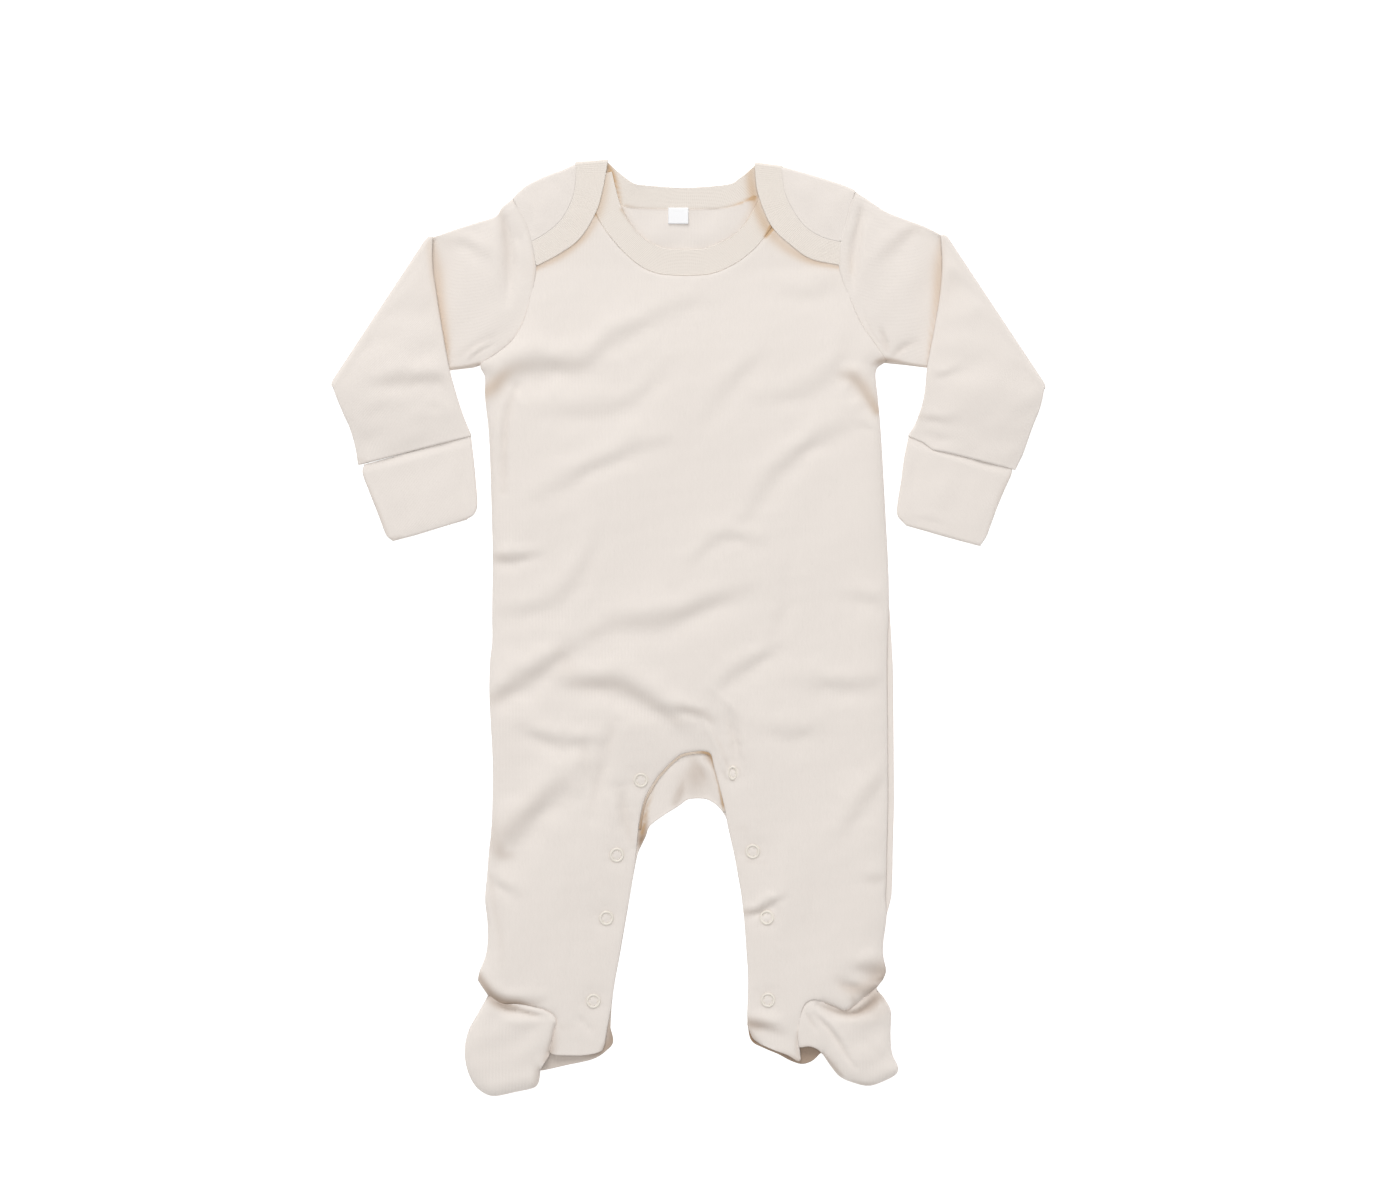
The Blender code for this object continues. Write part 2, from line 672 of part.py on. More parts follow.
def back_panel():
    """The back, flat on the surface, with a flap that folds forward over each shoulder."""
    mesh = bmesh.new()
    radius = (FLAP_LEVEL - BACK_LEVEL) / 2
    neck = [row.y for row in BACK_NECK]
    arch = [row.y for row in BACK_INSIDE if row.y > ARCH_FOOT]
    body = armhole_levels(neck[-1]) + steps(ARMPIT, arch[0], BACK_SPACING)
    legs = steps(ARCH_FOOT, BACK_INSIDE[-1].y, BACK_LEG_SPACING)
    centres = dict.fromkeys(body + arch[:1])
    shares = [1 - index / FLAP_COLUMNS for index in range(FLAP_COLUMNS + 1)]
    for side in ("left", "right"):
        line = shoulder_line(side, radius + CLOTH / 2)
        rows = []
        for x, y in (along(line, share) for share in shares):
            edges = (x, at_level(BACK_NECK, side, y))
            rows.append(panel_row(mesh, y, edges, BACK_COLUMNS, back_level, centres))
        folds = [row[0] for row in rows]
        yoke = folds[-1].co.y / MM
        for y in [y for y in neck[:-1] if y < yoke - 1]:
            edges = (outer_edge(side, y, radius + CLOTH / 2), at_level(BACK_NECK, side, y))
            rows.append(panel_row(mesh, y, edges, BACK_COLUMNS, back_level, centres))
        for y in body + arch[:1]:
            edges = (at_level(SIDES, side, y), middle(BACK_NECK, BACK_INSIDE, y))
            rows.append(panel_row(mesh, y, edges, BACK_COLUMNS, back_level, centres))
        for y in arch[1:] + legs:
            edges = (at_level(SIDES, side, y), at_level(BACK_INSIDE, side, y))
            rows.append(panel_row(mesh, y, edges, BACK_COLUMNS, back_level, centres))
        start, end = ANKLE[side]
        places = [between(start, end, index / BACK_COLUMNS) for index in range(BACK_COLUMNS + 1)]
        rows.append([vertex(mesh, x, y + SEAM_GAP, BACK_LEVEL) for x, y in places])
        skin(mesh, rows, turned=side == "right")
        skin(mesh, flap_rows(mesh, side, folds, shares, radius), turned=side == "right")
    sewn(mesh, "back_panel", COTTON, CLOTH)


def flap_rows(mesh, side, folds, shares, radius):
    """A flap, from the vertices along its fold, round the fold and down to its binding."""
    out = outward(side)
    seam = [strip.seam for strip in FLAP_BINDING[side]]
    rows = [folds]
    for step in range(1, FOLD_STEPS + 1):
        turn = math.pi * step / FOLD_STEPS
        row = []
        for corner in folds:
            x = corner.co.x / MM + out.x * radius * math.sin(turn)
            y = corner.co.y / MM + out.y * radius * math.sin(turn)
            row.append(vertex(mesh, x, y, BACK_LEVEL + radius * (1 - math.cos(turn))))
        rows.append(row)
    top = rows[-1]
    for step in range(1, FLAP_ROWS + 1):
        row = []
        for corner, share in zip(top, shares):
            start = (corner.co.x / MM, corner.co.y / MM)
            end = along(seam, share)
            gap = math.dist(start, end)
            reach = step / FLAP_ROWS * max(1 - SEAM_GAP / gap, 0.3)
            x, y = between(start, end, reach)
            armhole = at_level(SIDES, side, y)
            x = max(x, armhole) if side == "left" else min(x, armhole)
            row.append(vertex(mesh, x, y, FLAP_LEVEL))
        rows.append(row)
    return rows


def band(name, strips, turned):
    """A rib binding through strips, each a pair of points with their levels."""
    mesh = bmesh.new()
    rows = [[vertex(mesh, *edge), vertex(mesh, *seam)] for edge, seam in strips]
    skin(mesh, rows, turned)
    sewn(mesh, name, RIBBED, RIB)


def narrowed(strip):
    """A strip's two points, its sewn one drawn in by the seam's gap."""
    width = math.dist(strip.edge, strip.seam)
    return strip.edge, between(strip.seam, strip.edge, SEAM_GAP / width)


def levelled(strips, level):
    """Strips laid at one level."""
    return [((*edge, level), (*seam, level)) for edge, seam in map(narrowed, strips)]


def front_binding():
    """The rib round the front of the neck, a constant width in from its seam, its ends under the flaps."""
    seam = [(row.left, row.y) for row in FRONT_NECK]
    seam += [(row.right, row.y) for row in FRONT_NECK[-2::-1]]
    strips = []
    for before, place, after in zip(seam[:1] + seam, seam, seam[1:] + seam[-1:]):
        run = Vector(after) - Vector(before)
        inward = Vector((-run.y, run.x)).normalized()
        edge = Vector(place) + inward * RIB_WIDTH
        strips.append(Strip(tuple(edge), place))
    band("neck_binding_front", levelled(strips, FRONT_BINDING_LEVEL), turned=False)


def peak(side):
    """The strips that carry the binding round a neck peak, from the back's level to the flap's."""
    out = PEAK_OUT[side]
    radius = (FLAP_BINDING_LEVEL - BACK_BINDING_LEVEL) / 2
    edge, seam = narrowed(FLAP_BINDING[side][-1])
    strips = []
    for step in range(FOLD_STEPS + 1):
        turn = math.pi * step / FOLD_STEPS
        reach = radius * math.sin(turn)
        level = BACK_BINDING_LEVEL + radius * (1 - math.cos(turn))
        strips.append(
            (
                (edge[0] + out[0] * reach, edge[1] + out[1] * reach, level),
                (seam[0] + out[0] * reach, seam[1] + out[1] * reach, level),
            )
        )
    return strips


def back_binding():
    """The rib round the back of the neck and along both flaps, in one run."""
    flaps = {side: levelled(FLAP_BINDING[side][:-1], FLAP_BINDING_LEVEL) for side in FLAP_BINDING}
    strips = flaps["left"] + peak("left")[::-1]
    strips += levelled(BACK_BINDING, BACK_BINDING_LEVEL)
    strips += peak("right") + flaps["right"][::-1]
    band("neck_binding_back", strips, turned=True)


def armhole_bow(side, share):
    """How far the armhole is from the straight line between a sleeve's first two corners."""
    first = SLEEVES[side][0]
    x, y = between(first.top, first.under, share)
    gap = SEAM_GAP * (1 + 2 * share**4)
    return at_level(SIDES, side, y) + (-gap if side == "left" else gap) - x


def tube_ring(section, side, wall, fold_radius):
    """The points round one section of a flattened tube, as [x, y, z]."""
    top, under = Vector(section.top), Vector(section.under)
    run = (under - top).normalized()
    out = Vector((run.y, -run.x)) if side == "left" else Vector((-run.y, run.x))
    turn = math.radians(section.turn)
    half = (wall + LAYER_GAP) / 2
    inset = half / (under - top).length
    level = half + wall / 2 + fold_radius * (1 - math.cos(turn))
    over = out * fold_radius * math.sin(turn)
    shares = [inset + (1 - 2 * inset) * index / SLEEVE_COLUMNS for index in range(SLEEVE_COLUMNS + 1)]
    points = []
    for layer, order, tip in ((half, shares, under), (-half, shares[::-1], top)):
        for share in order:
            place = Vector(between(section.top, section.under, share)) + over
            place.x += section.bow * armhole_bow(side, share)
            place -= out * layer * math.sin(turn)
            lift = layer * math.cos(turn)
            if lift > 0:
                lift += section.puff * math.sin(math.pi * share) ** PUFF_SHAPE
            points.append([*place, level + lift])
        points.append([*(tip + over), level])
    return points


def drop_share(side, x, y):
    """How far the forearm has come down beside the upper sleeve: 0 on it, 1 on the surface."""
    sections = SLEEVES[side]
    start, end = sections[0].under, sections[FIRST_FOLDED - 1].under
    underarm = float(np.interp(abs(x), sorted((abs(start[0]), abs(end[0]))), (start[1], end[1])))
    share = min(max((underarm - DROP_START - y) / SLEEVE_DROP, 0.0), 1.0)
    return share * share * (3 - 2 * share)


def sleeve(side):
    """A sleeve: a flattened tube that folds over at the elbow, its forearm on top."""
    mesh = bmesh.new()
    rings = []
    for index, section in enumerate(SLEEVES[side]):
        if index == FIRST_FOLDED:
            for step in range(1, FOLD_STEPS):
                turned = section._replace(turn=section.turn * step / FOLD_STEPS)
                rings.append(tube_ring(turned, side, CLOTH, ELBOW_RADIUS))
        ring = tube_ring(section, side, CLOTH, ELBOW_RADIUS)
        if index > FIRST_FOLDED:
            for point in ring:
                point[2] -= 2 * ELBOW_RADIUS * drop_share(side, point[0], point[1])
        rings.append(ring)
    rows = [[vertex(mesh, *point) for point in ring] for ring in rings]
    skin(mesh, rows, turned=side == "left", closed=True)
    sewn(mesh, f"sleeve_{side}", COTTON, CLOTH)


def cuff(side):
    """A turned-back mitten cuff, lying flat, open at the hand."""
    mesh = bmesh.new()
    rings = [tube_ring(section, side, RIB, 0.0) for section in CUFFS[side]]
    rows = [[vertex(mesh, *point) for point in ring] for ring in rings]
    skin(mesh, rows, turned=side == "left", closed=True)
    sewn(mesh, f"cuff_{side}", RIBBED, RIB)


def foot_top(side):
    """The top of a foot, domed, from the foot seam to the toe."""
    mesh = bmesh.new()
    joined = LEG_END[side][:FOOT_SEAM]
    sections = 2 * (FOOT_SEAM - 1)
    rows = []
    for section in range(sections + 1):
        toe = along(TOE[side], section / sections)
        seam = along(joined, section / sections)
        seam = between(seam, toe, FOOT_GAP / math.dist(seam, toe))
        row = []
        for index in range(FOOT_COLUMNS + 1):
            x, y = between(seam, toe, index / FOOT_COLUMNS)
            rise = FOOT_RISE * roll(EDGE_ROLL, distance(TOE[side], x, y))
            rise *= SEAM_RISE + (1 - SEAM_RISE) * roll(SEAM_ROLL, distance(joined, x, y))
            row.append(vertex(mesh, x, y, FRONT_LEVEL + rise))
        rows.append(row)
    skin(mesh, rows, turned=side == "right")
    sewn(mesh, f"foot_top_{side}", COTTON, CLOTH)


def sole(side):
    """The underside of a foot, flat on the surface, from the ankle round the toe and heel."""
    mesh = bmesh.new()
    start, end = ANKLE[side]
    edge = TOE[side] + HEEL[side]
    rows = []
    for index, outline in enumerate(edge):
        place = between(start, end, index / (len(edge) - 1))
        rows.append([vertex(mesh, *place, BACK_LEVEL), vertex(mesh, *outline, BACK_LEVEL)])
    skin(mesh, rows, turned=side == "right")
    sewn(mesh, f"sole_{side}", COTTON, CLOTH)


def crotch_facing():
    """The narrow facing that shows inside the front's crotch arch."""
    mesh = bmesh.new()
    arch = FRONT_INSIDE[1:FACING_FOOT]
    outline = [(row.left, row.y) for row in arch[::-1]] + [(row.right, row.y) for row in arch[:-1]]
    centre = Vector((0.0, ARCH_FOOT))
    places = []
    for place in map(Vector, outline):
        towards = (centre - place).normalized()
        edge = place + towards * (SEAM_GAP + 0.1)
        inner = edge + towards * FACING_WIDTH
        places.append([vertex(mesh, *edge, FRONT_LEVEL), vertex(mesh, *inner, FRONT_LEVEL)])
    skin(mesh, places)
    sewn(mesh, "crotch_facing", RIBBED, FACING_WALL)


def popper(name, place, cloth):
    """A popper's ring, tilted to lie on the cloth under it."""
    ring = POPPER_RADIUS - POPPER_WIRE
    above = 100.0

    def height(x, y):
        return cloth.ray_cast(Vector((x, y, above)) * MM, Vector((0, 0, -1)))[0].z / MM

    x, y = place
    tilt_x = (height(x + ring, y) - height(x - ring, y)) / (2 * ring)
    tilt_y = (height(x, y + ring) - height(x, y - ring)) / (2 * ring)
    lift = 0.0
    for step in range(16):
        across, up = math.cos(math.tau * step / 16), math.sin(math.tau * step / 16)
        for reach in (POPPER_RADIUS, ring, ring - POPPER_WIRE):
            cloth_top = height(x + reach * across, y + reach * up)
            lift = max(lift, cloth_top - reach * (tilt_x * across + tilt_y * up))
    bpy.ops.mesh.primitive_torus_add(
        major_segments=12, minor_segments=6, major_radius=ring * MM, minor_radius=POPPER_WIRE * MM
    )
    part = bpy.context.object
    part.name = part.data.name = name
    part.location = (x * MM, y * MM, (lift + POPPER_WIRE + POPPER_GAP) * MM)
    normal = Vector((-tilt_x, -tilt_y, 1.0)).normalized()
    part.rotation_euler = normal.to_track_quat("Z", "Y").to_euler()
    for collection in part.users_collection:
        collection.objects.unlink(part)
    COLLECTION.objects.link(part)
    part.data.shade_smooth()
    paint(part, POPPER_WHITE, 0.4)


def neck_label():
    """The bare label, hanging from the back neck seam on the inside of the back."""
    level = RIB + LAYER_GAP + LABEL_THICKNESS / 2
    mesh = bmesh.new()
    bmesh.ops.create_cube(mesh, size=1.0)
    bmesh.ops.scale(mesh, vec=Vector((LABEL_WIDTH, LABEL_HEIGHT, LABEL_THICKNESS)) * MM, verts=mesh.verts)
    bmesh.ops.translate(mesh, vec=Vector((*LABEL_CENTRE, level)) * MM, verts=mesh.verts)
    data = bpy.data.meshes.new("neck_label")
    mesh.to_mesh(data)
    mesh.free()
    part = bpy.data.objects.new("neck_label", data)
    COLLECTION.objects.link(part)
    paint(part, LABEL_WHITE, 0.8)


for old in list(bpy.data.objects):
    bpy.data.objects.remove(old)
COLLECTION = bpy.data.collections.new("footed_sleepsuit")
bpy.context.scene.collection.children.link(COLLECTION)

back_panel()
front = front_panel()
front_binding()
back_binding()
crotch_facing()
neck_label()
for half in ("left", "right"):
    sleeve(half)
    cuff(half)
    foot_top(half)
    sole(half)
bpy.context.view_layer.update()
front_wall = BVHTree.FromObject(front, bpy.context.evaluated_depsgraph_get())
for half, places in POPPERS.items():
    for number, centre in enumerate(places, start=1):
        popper(f"popper_{half}_{number}", centre, front_wall)
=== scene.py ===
"""The looks of a footed baby sleepsuit in undyed cotton interlock, laid flat with its front up.

Each piece of cloth is a thin wall that follows its solid's form and adds the creases. Its colour
holds painted shade and painted shadow, warm or dark, in its creases, seams and hollows and under
the edges that lie over it. Sizes in the tables are millimetres in the frame's own axes: +Y to the
neck, +X to the viewer's right, +Z up. A mesh is turned into metres when it is made.
"""

import math
from functools import partial

import bmesh
import bpy
import numpy as np
from bpy.props import FloatProperty, FloatVectorProperty, PointerProperty
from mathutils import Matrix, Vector
from mathutils.geometry import delaunay_2d_cdt


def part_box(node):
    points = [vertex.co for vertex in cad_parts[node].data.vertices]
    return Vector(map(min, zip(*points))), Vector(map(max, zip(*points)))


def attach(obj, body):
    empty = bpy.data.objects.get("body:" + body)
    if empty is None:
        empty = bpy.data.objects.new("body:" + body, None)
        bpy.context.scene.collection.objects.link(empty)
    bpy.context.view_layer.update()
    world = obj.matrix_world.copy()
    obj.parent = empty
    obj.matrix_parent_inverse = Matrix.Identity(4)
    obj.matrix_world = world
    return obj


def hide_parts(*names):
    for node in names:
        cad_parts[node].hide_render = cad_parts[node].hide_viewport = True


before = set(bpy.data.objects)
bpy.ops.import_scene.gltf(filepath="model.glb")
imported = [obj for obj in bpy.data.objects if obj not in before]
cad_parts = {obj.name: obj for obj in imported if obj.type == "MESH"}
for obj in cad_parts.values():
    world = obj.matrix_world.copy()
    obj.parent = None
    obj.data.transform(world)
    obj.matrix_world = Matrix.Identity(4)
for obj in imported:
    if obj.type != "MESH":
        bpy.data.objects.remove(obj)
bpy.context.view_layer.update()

bl_info = {
    "name": "Footed sleepsuit",
    "version": (1, 0, 0),
    "blender": (4, 5, 0),
    "location": "View3D > Sidebar > Sleepsuit",
    "description": "Sews the cloth, poppers, label and stitching of a footed baby sleepsuit",
    "category": "Object",
}

MM = 0.001
BODY = "root"
HALVES = ("left", "right")
HAND = {"left": 1, "right": -1}  # the sign of what is mirrored

# ------------------------------
# The cut: outlines in millimetres. An edge table's rows are (level up the suit, left x, right x).

SIDES = (
    (276, -111.2, 104.8), (270, -110.4, 103), (257, -103.8, 99.4), (244, -99.8, 96.2),
    (228, -97, 95.2), (214, -98.8, 99.5), (200, -101.8, 104.5), (190, -105.5, 109.5),
    (180, -112, 116.6), (172, -122, 122.2), (168.4, -128.6, 124.4), (167, -131.2, 121.8),
    (165, -131.2, 118.6), (162, -129.4, 117.3), (158, -127.8, 117.1), (145, -127.8, 118.5),
    (119, -125.2, 120.7), (67, -123.5, 123.6), (43, -123, 124.9), (10, -123.4, 125.9),
    (-7, -123.3, 126), (-22, -124.8, 126.2), (-45, -125, 126.5), (-82, -123.1, 126.8),
    (-110, -123.2, 126.9), (-127, -124, 126.5), (-140, -125.4, 126.1), (-155, -126.6, 125.9),
    (-170, -127.8, 125.2), (-185, -126.3, 123.7), (-197, -126.2, 122), (-206, -127.6, 122),
    (-215, -131.2, 123.7), (-221, -132.5, 121.6),
)
SHOULDER_FOLD = {
    "left": (
        (-110.8, 271.4), (-104.4, 277.6), (-96.3, 282.4), (-88, 286), (-80.4, 288.7),
        (-72.6, 292.2),
    ),
    "right": ((105.6, 275.8), (97, 279.6), (88, 282.6), (74.4, 286.7), (60.2, 290.7)),
}
FRONT_NECK = (
    (284, -64.9, 63.2), (273, -62.3, 61.8), (261.3, -58.7, 57.8), (252.3, -53.6, 52),
    (247.7, -50.3, 48.6), (240, -44, 42.3), (233, -36.8, 34.2), (228.5, -31, 27),
    (225.3, -25.1, 20.4), (223.4, -19.2, 14.6), (222.5, -13.2, 9), (222, -2, -2),
)
BACK_NECK = (
    (290.4, -69.8, 59), (287.8, -67.9, 58), (285, -66, 55.5), (280, -62.2, 50.8),
    (275, -58, 45.4), (270, -51.8, 37.4), (267.6, -47, 32.4), (266, -40.9, 27.4),
    (265, -32, 21.2), (264.5, -22, 12), (264.2, -2, -2),
)
FRONT_INSIDE = (
    (-76.6, 8, 8), (-77.2, 1.4, 12), (-79, -5.4, 14.2), (-83.8, -11.3, 15.4),
    (-88.8, -16.2, 16.5), (-93.2, -20.1, 17.8), (-104.6, -27, 20.8), (-114, -30, 23),
    (-125.8, -32, 25.2), (-141.8, -33.6, 28.8), (-155, -35.2, 31.2), (-168, -37.4, 33.4),
    (-185, -40.4, 35.3), (-208, -44.4, 36.9), (-216, -45.9, 37.5), (-228, -47.8, 37.5),
    (-242, -50, 37), (-251, -51.6, 37.5),
)
BACK_INSIDE = (
    (-106.6, 5.7, 5.7), (-106.9, 1.2, 9.4), (-107.8, -1.6, 12.8), (-111.5, -6.6, 18.2),
    (-117.8, -16.5, 22.9), (-124.1, -24.6, 24.9), (-130, -27, 26.4), (-135, -29.3, 27.5),
    (-141.8, -32.2, 28.9), (-155, -34.9, 31.2), (-168, -37.1, 33.4), (-185, -40, 35.3),
    (-208, -44, 36.9), (-226, -47.5, 37.5),
)
LEG_END = {
    "left": (
        (-126, -230.4), (-117.5, -235.8), (-107.5, -236), (-97.5, -237.8), (-90, -240),
        (-84, -245), (-85.4, -256), (-87.6, -266.2), (-73, -268.2), (-61, -267.4),
        (-54.8, -265.2), (-53, -260.6),
    ),
    "right": (
        (118, -225.2), (110.6, -231.4), (99.4, -239.4), (91.8, -237), (83.9, -234),
        (77.4, -232.8), (72, -237), (69, -250), (69.4, -262.8), (69.8, -271.8),
        (62, -267.9), (54, -265), (46, -261.5), (40.3, -257.8),
    ),
}
FOOT_SEAM_POINTS = {"left": 8, "right": 9}  # of a leg's end, from the outside
TOE = {
    "left": (
        (-126.6, -231.8), (-132.4, -242), (-138.2, -252.6), (-140.7, -265), (-139, -277.5),
        (-134.2, -287.2), (-128.6, -291.8), (-123.4, -293.6), (-117, -292.8), (-110, -291.2),
        (-98.6, -288.7), (-95.4, -286.4), (-94.4, -282.4), (-93.9, -277.8),
    ),
    "right": (
        (118.9, -228.4), (122.6, -232.6), (126.8, -241), (126.5, -254), (127.4, -266.6),
        (131.2, -275.4), (130.4, -279.6), (124.6, -283.3), (114.1, -287), (104.5, -285.4),
        (94.4, -280.6), (84.4, -267.2),
    ),
}
VAMP = {
    "left": ((-93.9, -277.8), (-88, -268.4)),
    "right": ((84.4, -267.2), (80.4, -263.8), (75.6, -262.2), (70.4, -262.9)),
}
HEEL = {
    "left": (
        (-91.6, -277.8), (-76.8, -274.5), (-60, -270.6), (-51, -264.6), (-47.6, -259.6),
        (-49.4, -251),
    ),
    "right": (
        (83, -266.9), (77.6, -271.9), (71, -273.8), (63.8, -271.6), (56.3, -267.6),
        (47.8, -264), (39.4, -259.2), (36.9, -249),
    ),
}
ANKLE = {"left": ((-124.8, -229.2), (-48.8, -240.4)), "right": ((117.4, -226.4), (36.9, -240.4))}

# A sleeve's sections: shoulder side, underarm side, share of the armhole's curve, puff.
UPPER_SLEEVE = {
    "left": (
        ((-110.9, 271), (-132, 166.8), 1, 1.4), ((-118, 265.3), (-137, 165), 0.82, 1.8),
        ((-122, 259.4), (-141.5, 164.4), 0.6, 2), ((-134, 255.4), (-150, 163.4), 0.38, 1.6),
        ((-147.5, 251), (-166, 161.6), 0.16, 0.4), ((-156.6, 247.7), (-194, 157.8), 0.04, 0),
        ((-161.5, 246.1), (-223.4, 152.2), 0, 0),
    ),
    "right": (
        ((105.4, 275.6), (125.8, 168), 1, 1.4), ((114.5, 269.4), (130, 167.4), 0.82, 1.8),
        ((124.8, 262.4), (136, 166.8), 0.6, 2), ((137, 257.4), (147, 165.4), 0.38, 1.6),
        ((149, 252.7), (166, 163), 0.16, 0.4), ((156, 249.2), (194, 156.6), 0.04, 0),
        ((158.8, 247.2), (222.8, 150.6), 0, 0),
    ),
}
FOREARM = {
    "left": (
        ((-161.5, 246.1), (-223.4, 152.2), 0, 0), ((-161.5, 229), (-221.4, 146.6), 0, 1.2),
        ((-159.4, 213), (-219, 140.6), 0, 2.2), ((-155.6, 189), (-216.2, 134), 0, 2.8),
        ((-151.4, 166), (-213.2, 127.4), 0, 3), ((-147, 149), (-210.7, 119.4), 0, 2.8),
        ((-142.2, 134), (-209, 111.8), 0, 2.4), ((-137.6, 122.6), (-208, 104.6), 0, 2),
    ),
    "right": (
        ((158.8, 247.2), (222.8, 150.6), 0, 0), ((159.6, 229), (221.6, 143.8), 0, 1.2),
        ((158.2, 210), (219.8, 137.4), 0, 2.2), ((154.4, 187), (217.2, 130.8), 0, 2.8),
        ((150.4, 166), (214.8, 124.4), 0, 3), ((148.2, 146), (212.2, 116.6), 0, 2.8),
        ((143.4, 130.4), (209.4, 109), 0, 2.6), ((138.8, 122.4), (205.6, 101.4), 0, 2.2),
    ),
}
CUFFS = {
    "left": (
        ((-137.6, 121.8), (-203.8, 103.6), 0, 1.5), ((-137, 116.4), (-205, 98.4), 0, 1.6),
        ((-135.8, 106), (-201.5, 88.4), 0, 1.4), ((-134.4, 91.4), (-196.2, 75), 0, 1.6),
        ((-133.6, 78.6), (-191.4, 62.2), 0, 1.4), ((-135.4, 72.8), (-189.6, 58.6), 0, 1.2),
        ((-139.4, 69.8), (-187.2, 56.6), 0, 1),
    ),
    "right": (
        ((138.8, 121.2), (203.2, 101), 0, 1.6), ((137.8, 117.2), (202.4, 96.8), 0, 1.7),
        ((135.8, 107), (198.6, 88.4), 0, 1.4), ((133.8, 92), (193.8, 77), 0, 1.6),
        ((131.7, 78.6), (189.2, 64.4), 0, 1.4), ((131.8, 71.6), (187, 58.6), 0, 1.2),
        ((136.2, 66.4), (183.8, 53.7), 0, 1),
    ),
}
# How far the sleeves' ends sag over the cuffs, at shares across them.
SLEEVE_SAG = {
    "left": ((0, 0), (1, 0)),
    "right": ((0, 0), (0.14, 1.2), (0.225, 4), (0.33, 3.1), (0.47, 2.2), (0.77, 1), (1, 0)),
}

# The back neck binding's sections: free edge, seam.
FLAP_BINDING = {
    "left": (
        ((-95.9, 228.4), (-99.4, 243.4)), ((-80.6, 236.5), (-89.4, 249.4)),
        ((-68, 246.3), (-80.4, 257.4)), ((-58.5, 262.1), (-74, 268.6)),
        ((-54.1, 276.6), (-71.4, 279.4)), ((-51, 293.9), (-70.7, 292.2)),
    ),
    "right": (
        ((94.9, 228.9), (95.5, 243.4)), ((76.9, 232.8), (83.6, 246.6)),
        ((64.3, 241.3), (73.1, 253.2)), ((51.5, 254.1), (65.6, 263.3)),
        ((43.3, 274.7), (60.2, 275)), ((41.4, 292), (58.1, 289.9)),
    ),
}
BACK_BINDING = (
    ((-45.3, 288.6), (-66, 285)), ((-37.4, 282.4), (-58, 275)),
    ((-33, 280.2), (-51.8, 270)), ((-30.4, 279.8), (-47, 267.6)),
    ((-27, 279.5), (-40.9, 266)), ((-22, 279.1), (-32, 265)),
    ((-14, 278.4), (-22, 264.5)), ((-2, 278), (-2, 264.2)),
    ((9, 278.5), (12, 264.5)), ((16.6, 279.1), (21.2, 265)),
    ((21.4, 279.6), (27.4, 266)), ((25, 280.2), (32.4, 267.6)),
    ((28.2, 281.2), (37.4, 270)), ((32.4, 284.4), (45.4, 275)),
    ((36.6, 287.4), (50.8, 280)),
)
PEAK_OUT = {"left": (0.0, 1.0), "right": (0.148, 0.989)}  # away from the neck peaks' fold lines

# Walls, and the levels of their middles.
CLOTH = 0.95
RIB = 1.0
BACK_LEVEL = 0.6
FRONT_LEVEL = 2.2
ARMHOLE_LEVEL = 2.95
FLAP_LEVEL = 3.4
BACK_BINDING_LEVEL = 0.7
FRONT_BINDING_LEVEL = 2.2
FLAP_BINDING_LEVEL = 3.35
FACING_LEVEL = 1.55
LABEL_LEVEL = BACK_BINDING_LEVEL + RIB / 2 + 0.85
# Each slot's finish, and the wall that its sheets are given; the ribs' meshes have their own.
CLOTHS = {
    "interlock": ("cotton_interlock", CLOTH), "rib": ("cotton_rib", 0), "label": ("cotton_tape", 0.3),
}

# Panels. A roll is how far in from an edge the cloth takes to come up to its full rise.
UNDERARM = 167.0
SHOULDER_POINT = 274.0
EDGE_ROLL = 16.0
PLACKET_ROLL = 34.0
ARMHOLE_ROLL = 14.0
FOOT_ROLL = 9.0
FOOT_RISE = 3.8
FOOT_GAP = 0.35  # between a foot's top and its leg
HEM_ROLL = 1.8
HEM_DROP = 0.55  # of the front's and the feet's edges
HEM_LIMIT = 0.58  # below the front's level, which no crease goes past
PLACKET_WIDTH = 18.6
FRONT_INSET = 3.0  # of the front's shoulders, inside the flaps' folds
FRONT_DRAWN = 1.8  # how far the front's right side is drawn in where the back shows
BACK_PEEK = 2.2  # how much of the back shows past it
SEAM_GROOVE = 0.9  # half the width of the groove along a seam

# Sleeves and cuffs
SEAM_GAP = -0.9  # between the front and a sleeve; under 0 they overlap
SEAM_SHOWN = {"left": 196, "right": 250}  # levels above which an armhole's seam shows
LAYER_HALF = 0.8  # half the distance between a sleeve's two layers
SLEEVE_LEVEL = BACK_LEVEL + LAYER_HALF
CUFF_HALF = 0.9
CUFF_LEVEL = 1.6
ELBOW_RADIUS = 1.9
FOLD_END = 5.0  # from an edge, over which the elbow's fold tapers
PUFF_SHAPE = 0.7  # under 1, a tube's upper layer is fuller near its edges
DROP_START = 1.5  # past the underarm, where the forearm starts to come down
SLEEVE_DROP = 56.0  # over which it comes down

# Bindings, facing, label, stitches and poppers
RIB_WIDTH = 16.9
RIB_PITCH = 1.35
RIB_HEIGHT = 0.035
SEAM_TUCK = 0.04  # share of a binding's width that runs on under its seam
ARCH_FOOT = -130.0  # the level below the crotch that the facing's edge points to
FACING_END = {"left": -126.0, "right": -115.0}
LABEL_HALF = 0.42  # half the distance between the label's two layers
STITCH_INSET = 2.4  # from the front's and the flaps' seams to their stitches
BACK_STITCH_INSET = 2.6
STITCH_SUNK = 0.1  # how deep the stitches lie in the cloth
STITCH_TOP = {"front": 250.0, "flaps": 288.0, "back": 266.0}  # levels above which none shows
POPPER_LIFT = 0.12
POPPER_FLAT = 0.65  # a ring's height, as a share of its wire's
PRONG_CIRCLE = 2.5
PRONG_RADIUS = 0.42
